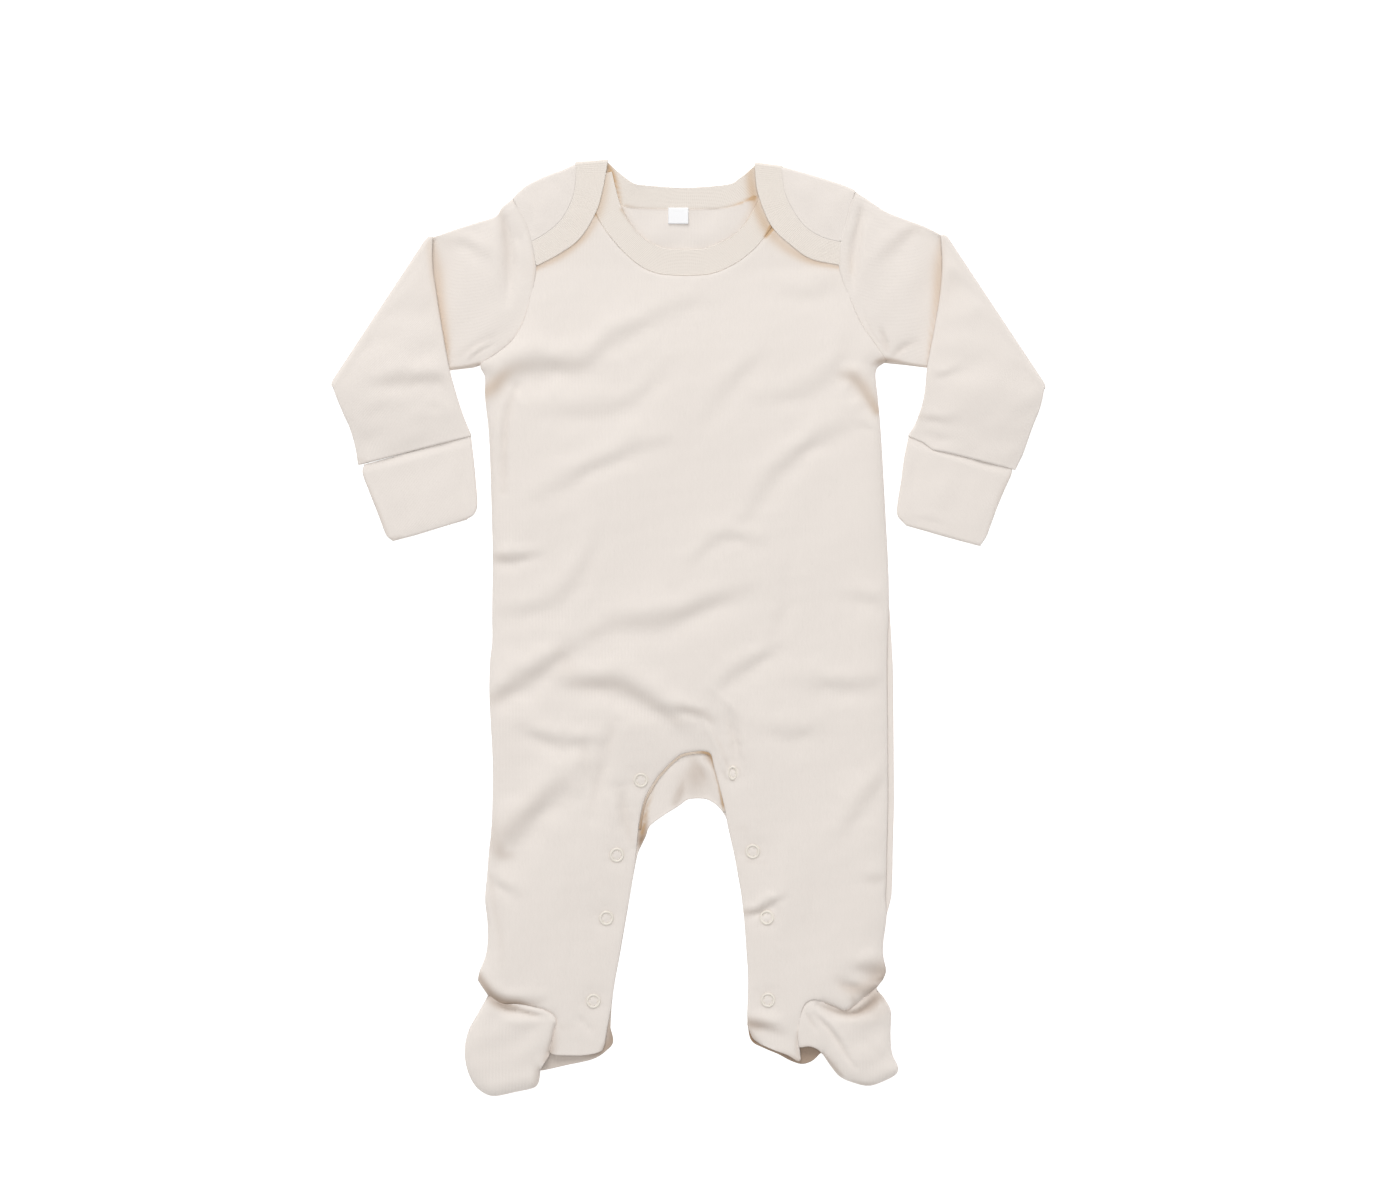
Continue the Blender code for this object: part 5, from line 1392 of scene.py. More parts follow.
def half_front(side):
    """A half of the front's outline, from the crotch round the leg and the shoulder to the neck."""
    end = LEG_ENDS[side][::-1]
    inner = np.vstack([INSIDE[side], end[:1]])
    seam = SIDE[side][::-1]
    low = seam[seam[:, 1] <= UNDERARM]
    if side == "right":
        low = low - np.column_stack([FRONT_DRAWN * peeking(low[:, 1]), np.zeros(len(low))])
    shoulder = shoulder_line(side, FRONT_INSET)
    levels = np.linspace(UNDERARM, FRONT_NECK[0][0], 120)
    armhole = across(SIDE[side], levels)
    fold = np.where(levels > shoulder[:, 1].min(), across(shoulder, levels), armhole)
    outer = np.maximum(armhole, fold) if side == "left" else np.minimum(armhole, fold)
    neck = edge_line(FRONT_NECK, side)
    upper = np.vstack([np.column_stack([outer, levels]), neck[:1]])
    return [inner, end, np.vstack([end[-1:], low]), upper, neck]


class ShoulderFold:
    """A shoulder's fold, which takes places on the cut cloth to the folded suit and back."""

    def __init__(self, side):
        self.side = side
        self.radius = (FLAP_LEVEL - BACK_LEVEL) / 2
        self.arc = math.pi * self.radius
        self.out = outward(side)
        self.run = np.array((self.out[1], -self.out[0]))
        line = shoulder_line(side, self.radius + CLOTH / 2)
        order = np.argsort(line @ self.run)
        self.along, self.height = (line @ self.run)[order], (line @ self.out)[order]

    def measured(self, x, y):
        """How far along the fold and out from its line a place is."""
        along = x * self.run[0] + y * self.run[1]
        out = x * self.out[0] + y * self.out[1]
        return along, out, np.interp(along, self.along, self.height)

    def place(self, along, out):
        return tuple(along * self.run[k] + out * self.out[k] for k in (0, 1))

    def line(self, past):
        """The fold's own line on the cut, moved out by a distance."""
        return np.column_stack(self.place(self.along, self.height + past))

    def unfolded(self, line):
        """A line on the flap as it lies on the front, taken to the cut cloth."""
        along, out, top = self.measured(line[:, 0], line[:, 1])
        return np.column_stack(self.place(along, top + self.arc + np.maximum(top - out, 0)))

    def folded(self, x, y):
        """Places on the cut cloth taken to the suit, with the level that the fold adds."""
        along, out, top = self.measured(x, y)
        past = out - top
        angle = np.clip(past / self.radius, 0, math.pi)
        out = np.where(past > 0, top + self.radius * np.sin(angle), out)
        out = np.where(past > self.arc, top - (past - self.arc), out)
        lift = self.radius * (1 - np.cos(angle))
        return *self.place(along, out), lift, past


def half_back(side, fold):
    """A half of the back's outline on the cut cloth, with its flap unfolded."""
    start, end = ANKLE[side]
    inner = np.vstack([BACK_INSIDES[side], [end]])
    ankle = np.array([end, start], float)
    seam = SIDE[side][::-1]
    low = np.vstack([[start], seam[seam[:, 1] <= UNDERARM]])
    if side == "right":
        low = low + np.column_stack([BACK_PEEK * peeking(low[:, 1]), np.zeros(len(low))])
    armhole = seam[(seam[:, 1] >= UNDERARM) & (seam[:, 1] <= SHOULDER_POINT)]
    _, out, top = fold.measured(armhole[:, 0], armhole[:, 1])
    armhole = armhole[out < top]
    flap_end = np.array(FLAP_BINDING[side][0][1], float)
    front_arm = armhole[armhole[:, 1] >= flap_end[1]][::-1]
    flap_arm = np.vstack([fold.unfolded(front_arm), fold.unfolded(flap_end[None, :])])
    flap_seam = fold.unfolded(FLAP_SEAMS[side])
    neck = BACK_SEAMS[side]
    return [
        inner, ankle, low, np.vstack([armhole, flap_arm[:1]]), flap_arm,
        flap_seam, np.vstack([flap_seam[-1:], neck[:1]]), neck,
    ]


def sew_front():
    """The front, its points close together along the plackets' stitches and round the poppers."""
    rows = [(beside(PLACKET_LINE, PLACKET_WIDTH), STITCH_ROWS)]
    spots = [(centre, POPPER_RINGS) for centre in POPPER_CENTRES]
    outline = closed_outline({side: half_front(side) for side in HALVES})
    laid(sewn("front", "front_panel", flat_cloth(outline, PITCH, front_surface, rows, spots)))


def sew_back():
    """The back, with its flaps folded over the shoulders on to the front."""
    folds = {side: ShoulderFold(side) for side in HALVES}
    outline = closed_outline({side: half_back(side, folds[side]) for side in HALVES})
    shares = np.arange(0, 9) / 8
    rows = [(fold.line(share * fold.arc), (0,)) for fold in folds.values() for share in shares]

    def folded(x, y):
        level, shade = back_surface(x, y)
        points = np.column_stack([x, y, level])
        for side, fold in folds.items():
            px, py, lift, past = fold.folded(x, y)
            bent = past > 0
            points[bent] = np.column_stack([px, py, BACK_LEVEL + lift])[bent]
            flap = past > fold.arc
            level, flap_shade = flap_surface(side, px[flap], py[flap])
            blend = ease((past[flap] - fold.arc) / 4)
            points[flap, 2] = FLAP_LEVEL + (level - FLAP_LEVEL) * blend
            shade[flap] = flap_shade
        return points, shade

    laid(sewn("back", "back_panel", flat_cloth(outline, BACK_PITCH, folded, rows)))


def sew_foot(side):
    """A foot's top and sole, which meet along the toe."""
    seam = beside(FOOT_SEAMS[side], FOOT_GAP * HAND[side])
    toe, heel, vamp = TOES[side], HEELS[side], smooth(VAMP[side], 1.0)
    start, end = ANKLE[side]
    top = [toe, np.vstack([vamp, seam[-1:]]), np.vstack([seam[::-1], toe[:1]])]
    ankle = np.array([end, start], float)
    sole = [ankle, np.vstack([[start], toe]), heel, np.vstack([heel[-1:], [end]])]
    for node, pieces, pitch, surface in (
        (f"foot_top_{side}", top, FOOT_PITCH, foot_surface),
        (f"sole_{side}", sole, SOLE_PITCH, sole_surface),
    ):
        outline = joined_line(pieces)[:: HAND[side]]
        laid(sewn(f"{node}_cloth", node, flat_cloth(outline, pitch, partial(surface, side))))


# ------------------------------
# Tubes: the sleeves and cuffs


def tube_columns(width, half, count):
    """Distances across a flattened tube's upper layer and the share of its half height at each."""
    turns = np.linspace(0, math.pi / 2, 5)[:-1]
    arc, rise = half * (1 - np.cos(turns)), np.sin(turns)
    shares = np.linspace(0, 1, count)
    shares = shares - 0.7 * np.sin(math.tau * shares) / math.tau  # closer together by the edges
    middle = half + (width - 2 * half)[:, None] * shares[None, :]
    left = np.broadcast_to(arc, (len(width), len(arc)))
    right = width[:, None] - left[:, ::-1]
    heights = np.concatenate([rise, np.ones(count), rise[::-1]])
    reach = np.concatenate([left, middle, right], axis=1)
    return reach, np.broadcast_to(heights, reach.shape)


def tube_points(side, rows, half, base, turn=0.0, radius=0.0):
    """Upper and lower layers of a flattened tube's rings, each as x, y, level and distance in."""
    top, under, bow, puff = rows[:, 0:2], rows[:, 2:4], rows[:, 4:5], rows[:, 5:6]
    width = np.linalg.norm(under - top, axis=1)
    reach, share_up = tube_columns(width, half, TUBE_COLUMNS)
    width = width[:, None]
    run = (under - top) / width
    out = np.column_stack([run[:, 1], -run[:, 0]]) * HAND[side]
    shares = reach / width
    x = top[:, :1] + run[:, :1] * reach
    y = top[:, 1:] + run[:, 1:] * reach
    # The first rings are bowed from straight to the armhole's own curve.
    start, end = UPPER_SLEEVE[side][0][:2]
    chord_x, chord_y = (start[k] + (end[k] - start[k]) * np.clip(shares, 0, 1) for k in (0, 1))
    x = x + bow * (across(SIDE[side], chord_y) - HAND[side] * SEAM_GAP - chord_x)
    inward = np.minimum(reach, width - reach)
    turn = np.broadcast_to(np.radians(turn), (len(rows),))[:, None]
    layers = []
    for layer in (half * share_up, -half * share_up):
        past = radius * roll(FOLD_END, inward) - layer
        upward = layer * np.cos(turn)
        full = np.where(upward > 0, puff * np.sin(math.pi * shares) ** PUFF_SHAPE, 0)
        layers.append((
            x + out[:, :1] * past * np.sin(turn),
            y + out[:, 1:] * past * np.sin(turn),
            base + radius * (1 - np.cos(turn)) + upward + full,
            inward,
        ))
    return layers


def ringed(layers):
    """Both layers' points as closed rings, with the painted shades given for each layer."""
    (ux, uy, uz, us), (lx, ly, lz, ls) = layers
    upper, lower = np.dstack([ux, uy, uz]), np.dstack([lx, ly, lz])
    shade = np.concatenate([us, ls[:, -2:0:-1]], axis=1)
    return np.concatenate([upper, lower[:, -2:0:-1]], axis=1), shade


def plain(layer):
    """A layer without painted shade."""
    return *layer[:3], np.zeros_like(layer[0])


def drop_share(side, x, y):
    """How far the forearm has come down beside the upper sleeve: 0 on it, 1 on the surface."""
    first, *_, last = (section[1] for section in UPPER_SLEEVE[side])
    ends = sorted((abs(end[0]), end[1]) for end in (first, last))
    underarm = np.interp(np.abs(x), *zip(*ends))
    return ease((underarm - DROP_START - y) / SLEEVE_DROP)


def reach_share(x, y):
    """How far across a tube each of its rows' points is."""
    reach = np.hypot(x - x[:, :1], y - y[:, :1])
    return reach / reach[:, -1:]


def section_rows(sections, steps):
    """A tube's sections as smooth rows of numbers."""
    return refined([(*top, *under, bow, puff) for top, under, bow, puff in sections], steps)


def upper_sleeve(side, rows):
    """The upper sleeve's two layers, up to the armhole's level at its start."""
    (x, y, z, reach), lower = tube_points(side, rows, LAYER_HALF, SLEEVE_LEVEL)
    inner_edge = smooth([section[0] for section in FOREARM[side]])
    shown = ease((HAND[side] * nearest(inner_edge, x, y)[1] + 3) / 6)
    arm_gap = nearest(ARMHOLES[side], x, y)[0]
    height, shade = relief(UPPER_SLEEVE_RELIEF[side], x, y)
    fade = np.minimum(1, reach / 6) * shown
    z = z + (armhole_level(y) - z) * ease((rows[:, 4:5] - 0.3) / 0.7) * np.minimum(1, reach / 5)
    z = z + height * fade + 0.2 * ripple(x, y, 51, 24, 70) * fade * np.minimum(1, arm_gap / 8)
    z = z - 0.06 * bell(arm_gap, SEAM_GROOVE) * np.minimum(1, reach / 4)
    # Painted shade: a little in the folds, painted shadows under the forearm's edge and along the underarm,
    # and along the armhole's seam where it shows.
    shade = FOLD_SHADE * shade * fade + shadow(UPPER_SLEEVE_SHADOWS[side], x, y)
    shade = shade + 0.14 * bell(arm_gap, SEAM_GROOVE) * ease((y - SEAM_SHOWN[side]) / 20)
    return (x, y, np.maximum(z, BACK_LEVEL + 0.9), shade), plain(lower)


def forearm(side, rows):
    """The forearm's two layers, which come down beside the upper sleeve and sag over the cuff."""
    run = run_length(rows)[:, None]
    shaped = []
    for x, y, z, reach in tube_points(side, rows, LAYER_HALF, SLEEVE_LEVEL, 180, ELBOW_RADIUS):
        shade = np.zeros_like(x)
        if shaped:  # the second layer is on top, because the forearm is turned over
            height, shade = relief(FOREARM_RELIEF[side], x, y)
            fade = np.minimum(1, reach / 8) * ease((run - 2) / 10)
            fine = 0.3 * ripple(x, y, 52, 30, 20) + 0.06 * ripple(x, y, 53, 13, 20)
            z = z + (height + fine) * fade
            # Painted shade: a little in the folds and painted shadows in the creases.
            shade = FOLD_SHADE * shade * fade + shadow(FOREARM_SHADOWS[side], x, y)
        z = z - 2 * ELBOW_RADIUS * drop_share(side, x, y)
        near_end = ease((run - run[-1] + 22) / 22)
        y = y - np.interp(reach_share(x, y), *zip(*SLEEVE_SAG[side])) * near_end
        shaped.append((x, y, z, shade))
    return shaped


def sew_sleeve(side):
    """A sleeve: one tube from the armhole, folded over once at the elbow, to the wrist."""
    upper = section_rows(UPPER_SLEEVE[side], UPPER_STEPS)
    lower = section_rows(FOREARM[side], FOREARM_STEPS)
    turns = np.linspace(0, 180, ELBOW_ROWS + 2)[1:-1]
    elbow = np.repeat(upper[-1:], ELBOW_ROWS, axis=0)
    fold = tube_points(side, elbow, LAYER_HALF, SLEEVE_LEVEL, turns, ELBOW_RADIUS)
    stretches = upper_sleeve(side, upper), map(plain, fold), forearm(side, lower)
    grid, shade = (np.concatenate(parts) for parts in zip(*map(ringed, stretches)))
    middle = grid[-1][:, 2].mean()
    grid, shade = turned_in(grid, shade, (25, 50, 75), reach=1.0, closing=0.45, middle=middle)
    cloth = grid_cloth(grid, shade, closed=True, turned=side == "left")
    laid(sewn(f"sleeve_{side}_cloth", f"sleeve_{side}", cloth))


def turned_in(grid, shade, turns, reach, closing, middle):
    """A tube with rows added that turn its end in and close up by a share of its height."""
    end = grid[-1]
    along = end - grid[-3]
    along[:, 2] = 0
    along = unit(along)
    rows = []
    for turn in np.radians(turns):
        row = end + along * reach * math.sin(turn)
        row[:, 2] = middle + (end[:, 2] - middle) * (1 - closing + closing * math.cos(turn))
        rows.append(row)
    shades = np.repeat(shade[-1:], len(rows), axis=0)
    return np.concatenate([grid, rows]), np.concatenate([shade, shades])


def sew_cuff(side):
    """A mitten cuff, a tube of its own that comes out of the sleeve's end."""
    rows = section_rows(CUFFS[side], CUFF_STEPS)
    (x, y, z, reach), lower = tube_points(side, rows, CUFF_HALF, CUFF_LEVEL)
    run = run_length(rows)[:, None]
    start = 0.5 + 0.5 * ease(run / 7)
    height, shade = relief(CUFF_RELIEF[side], x, y)
    height = (height + 0.12 * ripple(x, y, 61, 18, 70)) * np.minimum(1, reach / 6)
    z = (z - CUFF_LEVEL) * start + CUFF_LEVEL + height
    # Painted shade: a little in the folds, along its start under the sleeve's end, and painted shadows by its
    # edges.
    shade = FOLD_SHADE * shade + 0.12 * (1 - ease(run / 1.4)) + shadow(CUFF_SHADOWS[side], x, y)
    grid, shade = ringed([(x, y, z, shade), plain(lower)])
    turns = (20, 40, 60, 78)
    grid, shade = turned_in(grid, shade, turns, reach=1.3, closing=0.75, middle=CUFF_LEVEL)
    cloth = grid_cloth(grid, shade, closed=True, turned=side == "left")
    laid(sewn(f"cuff_{side}_cloth", f"cuff_{side}", cloth))


# ------------------------------
# Bands: the neck bindings and the facing


def banded(rows, half, ribs):
    """A closed, rounded band from rows of (edge x, y, level, seam x, y, level)."""
    edge, seam = rows[:, None, :3], rows[:, None, 3:]
    width = np.linalg.norm(rows[:, 3:] - rows[:, :3], axis=1)
    reach, rise = tube_columns(width, half, BAND_COLUMNS)
    middle = edge + (seam - edge) * (reach / width[:, None])[:, :, None]
    normal = unit(np.cross(np.gradient(middle, axis=0), np.gradient(middle, axis=1)))
    run = run_length(middle[:, middle.shape[1] // 2], 3)
    inward = np.minimum(reach, width[:, None] - reach)
    rib = ribs * np.cos(run * math.tau / RIB_PITCH)[:, None] * ease(inward / 2.5)
    upper = middle + normal * ((half + rib) * rise)[:, :, None]
    lower = middle - normal * (half * rise)[:, :, None]
    return np.concatenate([upper, lower[:, -2:0:-1]], axis=1)


def capped(grid, shades):
    """A closed band as a sheet, with its two ends closed."""
    points, faces, places, shade = grid_cloth(grid, shades, closed=True, turned=True)
    rows, columns = grid.shape[:2]
    for row, turned in ((0, True), (rows - 1, False)):
        for step in range(columns // 2):
            ring = (step, step + 1, (columns - step - 1) % columns, (columns - step) % columns)
            face = list(dict.fromkeys(row * columns + n for n in ring))
            faces.append(face if turned else face[::-1])
    return points, faces, places, shade


def sew_front_binding():
    """The front neck's rib, a little narrower on the neck's slopes."""
    seam = spread(FRONT_SEAM, RIB_PITCH / 4)
    edge = beside(seam, RIB_WIDTH - 1.6 * bell(np.abs(seam[:, :1]) - 44, 10))
    seam = seam + (edge - seam) * 0.01
    level = np.full((len(seam), 1), FRONT_BINDING_LEVEL)
    grid = banded(np.hstack([edge, level, seam, level]), RIB / 2, RIB_HEIGHT)
    # Painted shadows cast by the flaps and along the binding's free edge.
    shades = shadow(FLAP_SHADOWS + NECK_EDGE_SHADOWS, grid[:, :, 0], grid[:, :, 1])
    piece = sewn("neck_binding_front_rib", "neck_binding_front", capped(grid, shades), "rib")
    laid(piece, 2)


def strip_rows(strips, level):
    """Smooth rows of a band through strips at one level."""
    rows = refined([(*edge, level, *seam, level) for edge, seam in strips], 16)
    rows[:, 3:5] -= (rows[:, 0:2] - rows[:, 3:5]) * SEAM_TUCK
    return rows


def peak_rows(side):
    """The rows that carry the binding over a neck peak, from the flap's level to the back's."""
    out = np.array(PEAK_OUT[side])
    radius = (FLAP_BINDING_LEVEL - BACK_BINDING_LEVEL) / 2
    edge, seam = (np.array(point) for point in FLAP_BINDING[side][-1])
    seam = seam - (edge - seam) * SEAM_TUCK
    rows = []
    for turn in np.linspace(math.pi, 0, 13)[1:-1]:
        level = BACK_BINDING_LEVEL + radius * (1 - math.cos(turn))
        over = out * radius * math.sin(turn)
        rows.append((*(edge + over), level, *(seam + over), level))
    return np.array(rows)


def sew_back_binding():
    """The back neck's rib, which runs on over both neck peaks and along the flaps."""
    back = (FLAP_BINDING["left"][-1], *BACK_BINDING, FLAP_BINDING["right"][-1])
    flaps = {side: strip_rows(FLAP_BINDING[side], FLAP_BINDING_LEVEL) for side in HALVES}
    rows = np.vstack([
        flaps["left"], peak_rows("left"), strip_rows(back, BACK_BINDING_LEVEL),
        peak_rows("right")[::-1], flaps["right"][::-1],
    ])
    run = run_length((rows[:, :3] + rows[:, 3:]) / 2, 3)
    at = np.linspace(0, run[-1], int(run[-1] / (RIB_PITCH / 4)))
    rows = np.column_stack([np.interp(at, run, column) for column in rows.T])
    grid = banded(rows, RIB / 2, RIB_HEIGHT)
    low = grid[:, :, 2] < BACK_BINDING_LEVEL + 1.6
    # Painted shadows cast by the flaps and the front's binding, on its low parts only.
    shades = shadow(FLAP_SHADOWS + NECK_SHADOWS, grid[:, :, 0], grid[:, :, 1]) * low
    piece = sewn("neck_binding_back_rib", "neck_binding_back", capped(grid, shades), "rib")
    laid(piece, 2)


def sew_facing():
    """The facing's edge, which shows inside the crotch's arch."""
    left, right = (INSIDE[side][INSIDE[side][:, 1] > FACING_END[side]] for side in HALVES)
    outline = spread(np.vstack([left[::-1], right[1:]]), 0.8)
    towards = unit(np.array((0.0, ARCH_FOOT)) - outline)
    low = np.full((len(outline), 1), FACING_LEVEL)
    rows = np.hstack([outline + towards * 1.9, low, outline + towards * 0.2, low + 0.35])
    grid = banded(rows, half=0.4, ribs=0.0)
    # Painted shade: the facing lies in shadow, half deep all over, with painted shadows at the arch's
    # corners.
    shades = 0.5 + shadow(FACING_SHADOWS, grid[:, :, 0], grid[:, :, 1])
    sewn("crotch_facing_rib", "crotch_facing", capped(grid, shades), "rib")


# ------------------------------
# Poppers, label and stitches


def front_point(x, y, lift=0.0):
    """Points on the front's outer face."""
    x, y = np.atleast_1d(x).astype(float), np.atleast_1d(y).astype(float)
    return np.column_stack([x, y, front_surface(x, y)[0] + CLOTH / 2 + lift])


def fit_poppers(radius, wire):
    """Ring poppers with their prongs, each lying square to the cloth under it."""
    points, normals = [], []
    for centre in POPPER_CENTRES:
        turns = np.linspace(0, math.tau, 13)[:-1]
        ring = front_point(*round_spot(centre, radius, 12).T)[:, 2]
        slopes = (2 * (ring * wave(turns)).mean() / radius for wave in (np.cos, np.sin))
        normals.append(Vector((*(-slope for slope in slopes), 1)).normalized())
        points.append((*centre, ring.mean() + POPPER_LIFT))
    source = strung("popper_points", [points])
    store(source, "size", POPPER_SIZES)
    store(source, "facing", normals)
    tree = NodeTree("popper_rings", ring_radius=(radius - wire) * MM, wire_radius=wire * MM)
    rim, rounding = tree.circle(56, tree["Ring radius"]), tree.circle(14, tree["Wire radius"])
    ring = tree.node("GeometryNodeCurveToMesh", {"Curve": rim, "Profile Curve": rounding})
    prongs = tree.set_at(tree.circle(5, PRONG_CIRCLE * MM), tree.bead(8, PRONG_RADIUS * MM))
    flat = tree.scaled(tree.joined(ring, prongs), (1, 1, POPPER_FLAT))
    given = tree.node("GeometryNodeMeshToPoints", {"Mesh": tree["Geometry"]})
    turned = tree.turned("Z", tree.stored("facing"))
    rings = tree.set_at(given, flat, Rotation=turned, Scale=tree.stored("size"))
    mesh = tree.made(source, rings, finish_named("popper_enamel"))
    placed("poppers", source, mesh, POPPERS)


def sew_label():
    """The bare label, a tape folded round at its lower end."""
    low, high = (np.array(corner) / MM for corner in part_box("neck_label"))
    columns = np.linspace(low[0], high[0], 24)
    bottom, top, half = low[1], high[1], LABEL_HALF
    turns = np.linspace(0.3, math.pi - 0.3, 6)
    profile = [(top - 0.3, -half)] + [(y, -half) for y in np.linspace(top - 1, bottom + half, 10)]
    profile += [(bottom + half - half * math.sin(turn), -half * math.cos(turn)) for turn in turns]
    profile += [(y, half) for y in np.linspace(bottom + half, top - 1, 10)] + [(top - 0.3, half * 0.6)]
    rows = []
    for y, z in profile:
        curl = 0.35 * ((columns - columns.mean()) / 6) ** 2 * (top - y) / 10
        rows.append(np.column_stack([columns, np.full_like(columns, y), LABEL_LEVEL + z + curl]))
    laid(sewn("neck_label_tape", "neck_label", grid_cloth(np.array(rows)), "label"))


def stitch_seams(length, gap, thread):
    """Rows of stitches along the plackets and beside the neck's seams, as far as they show."""
    placket = spread(beside(PLACKET_LINE, PLACKET_WIDTH), 1.0)
    placket = placket[nearest(PLACKET_LINE, *placket.T)[0] > PLACKET_WIDTH - 0.6]
    neck = spread(beside(FRONT_SEAM, -STITCH_INSET), 1.0)
    neck = neck[neck[:, 1] < STITCH_TOP["front"]]
    lines = [front_point(*line.T, lift=-STITCH_SUNK) for line in (placket, neck)]
    for side in HALVES:
        seam = spread(beside(FLAP_SEAMS[side], STITCH_INSET * HAND[side]), 1.0)
        seam = seam[seam[:, 1] < STITCH_TOP["flaps"]]
        level = flap_surface(side, *seam.T)[0] + CLOTH / 2 - STITCH_SUNK
        lines.append(np.column_stack([seam, level]))
    back = np.vstack([BACK_SEAMS["left"], BACK_SEAMS["right"][-2::-1]])
    back = spread(beside(back, -BACK_STITCH_INSET), 1.0)
    back = back[back[:, 1] < STITCH_TOP["back"]]
    lines.append(np.column_stack([back, back_surface(*back.T)[0] + CLOTH / 2 - STITCH_SUNK]))
    source = strung("stitch_lines", lines)
    tree = NodeTree("stitches", stitch_length=length * MM, gap=gap * MM, thread=thread * MM)
    curve = tree.node("GeometryNodeMeshToCurve", {"Mesh": tree["Geometry"]})
    step = tree.node("ShaderNodeMath", {0: tree["Stitch length"], 1: tree["Gap"]}, operation="ADD")
    points = tree.node("GeometryNodeResampleCurve", {"Curve": curve, "Length": step}, mode="LENGTH")
    size = {0: tree["Stitch length"], 1: tree["Thread"], 2: tree["Thread"]}
    stitch = tree.scaled(tree.bead(6, 0.5), tree.node("ShaderNodeCombineXYZ", size))
    turned = tree.turned("X", tree.node("GeometryNodeInputTangent"))
    rows = tree.set_at(points, stitch, Rotation=turned)
    mesh = tree.made(source, rows, finish_named("cotton_thread"))
    placed("topstitching", source, mesh)


# ------------------------------
# Stage


def area_light(name, place, size, power):
    """A soft square light at a place, turned to the suit."""
    light = bpy.data.lights.new(name, "AREA")
    light.size = size
    light.energy = power
    lamp = bpy.data.objects.new(name, light)
    lamp.location = place
    lamp.rotation_euler = (Vector(LIT_PLACE) - Vector(place)).to_track_quat("-Z", "Y").to_euler()
    bpy.context.scene.collection.objects.link(lamp)


def set_stage(stage):
    """A pale floor, two square lights, light from all round, and the camera."""
    scene = bpy.context.scene
    scene.view_settings.view_transform = "Standard"
    finish = Finish("floor_paper")
    grain = finish.noise(finish.node("ShaderNodeTexCoord", output=3), 3.0)
    finish.shade(
        Base_Color=whole(stage.floor_colour),
        Roughness=grain * 0.1 + 0.9,
        Emission_Color=WHITE,
        Emission_Strength=stage.floor_glow,
        Specular_IOR_Level=0.0,
    )
    mesh = bmesh.new()
    bmesh.ops.create_grid(mesh, x_segments=4, y_segments=4, size=1.6)
    data = bpy.data.meshes.new("floor")
    mesh.to_mesh(data)
    mesh.free()
    data.materials.append(finish.material)
    floor = bpy.data.objects.new("floor", data)
    scene.collection.objects.link(floor)
    for name, (place, size) in LIGHTS.items():
        area_light(name, place, size, getattr(stage, f"{name}_power"))
    world = bpy.data.worlds.new("room")
    world.use_nodes = True
    background = world.node_tree.nodes["Background"]
    background.inputs["Color"].default_value = WHITE
    background.inputs["Strength"].default_value = stage.room_light
    scene.world = world
    lens = bpy.data.cameras.new("camera")
    lens.lens = CAMERA_LENS
    lens.clip_start = 0.05
    camera = bpy.data.objects.new("camera", lens)
    distance = VIEW_WIDTH * MM * CAMERA_LENS / lens.sensor_width
    camera.location = (VIEW_CENTRE[0] * MM, VIEW_CENTRE[1] * MM, distance)
    scene.collection.objects.link(camera)
    scene.camera = camera


# ------------------------------
# The add-on


COLOUR = {"subtype": "COLOR", "size": 3, "min": 0.0, "max": 1.0}


class ClothSettings(bpy.types.PropertyGroup):
    """The cloth's colours, the colours of its painted shade, and its knit."""

    colour: FloatVectorProperty(
        name="Cotton", description="Colour of the undyed interlock", default=(0.811, 0.749, 0.697), **COLOUR,
    )
    rib_colour: FloatVectorProperty(
        name="Rib", description="Colour of the bindings and the facing",
        default=(0.808, 0.743, 0.678), **COLOUR,
    )
    # The warm colour that painted shade gives the cloth in its creases and under its edges.
    warm_shade_colour: FloatVectorProperty(
        name="Crease", description="Colour that the cloth turns deep in its creases",
        default=(0.60, 0.41, 0.245), **COLOUR,
    )
    # The dark colour that the deepest painted shade gives the cloth.
    dark_shade_colour: FloatVectorProperty(
        name="Dark", description="Colour of the cloth in its darkest hollows",
        default=(0.325, 0.218, 0.142), **COLOUR,
    )
    wale: FloatProperty(
        name="Wale", description="Millimetres from one wale of the knit to the next",
        default=0.9, min=0.3, max=4.0,
    )


class TrimSettings(bpy.types.PropertyGroup):
    """The poppers, label and stitches."""

    popper_colour: FloatVectorProperty(
        name="Popper", description="Colour of the poppers' enamel", default=(0.765, 0.72, 0.615), **COLOUR,
    )
    label_colour: FloatVectorProperty(
        name="Label", description="Colour of the label's tape", default=(0.95, 0.95, 0.96), **COLOUR,
    )
    thread_colour: FloatVectorProperty(
        name="Thread", description="Colour of the sewing thread", default=(0.80, 0.738, 0.685), **COLOUR,
    )
    popper_radius: FloatProperty(
        name="Popper radius", description="Millimetres from a popper's centre to its rim",
        default=4.6, min=2.0, max=8.0,
    )
    popper_wire: FloatProperty(
        name="Popper rim", description="Millimetres of the rim's rounding", default=0.75, min=0.2, max=2.0,
    )
    stitch_length: FloatProperty(
        name="Stitch", description="Millimetres of thread that show in a stitch",
        default=2.0, min=0.5, max=6.0,
    )
    stitch_gap: FloatProperty(
        name="Gap", description="Millimetres between two stitches", default=0.6, min=0.1, max=4.0,
    )
    thread: FloatProperty(
        name="Thread width", description="Millimetres across the thread", default=0.34, min=0.1, max=1.0,
    )


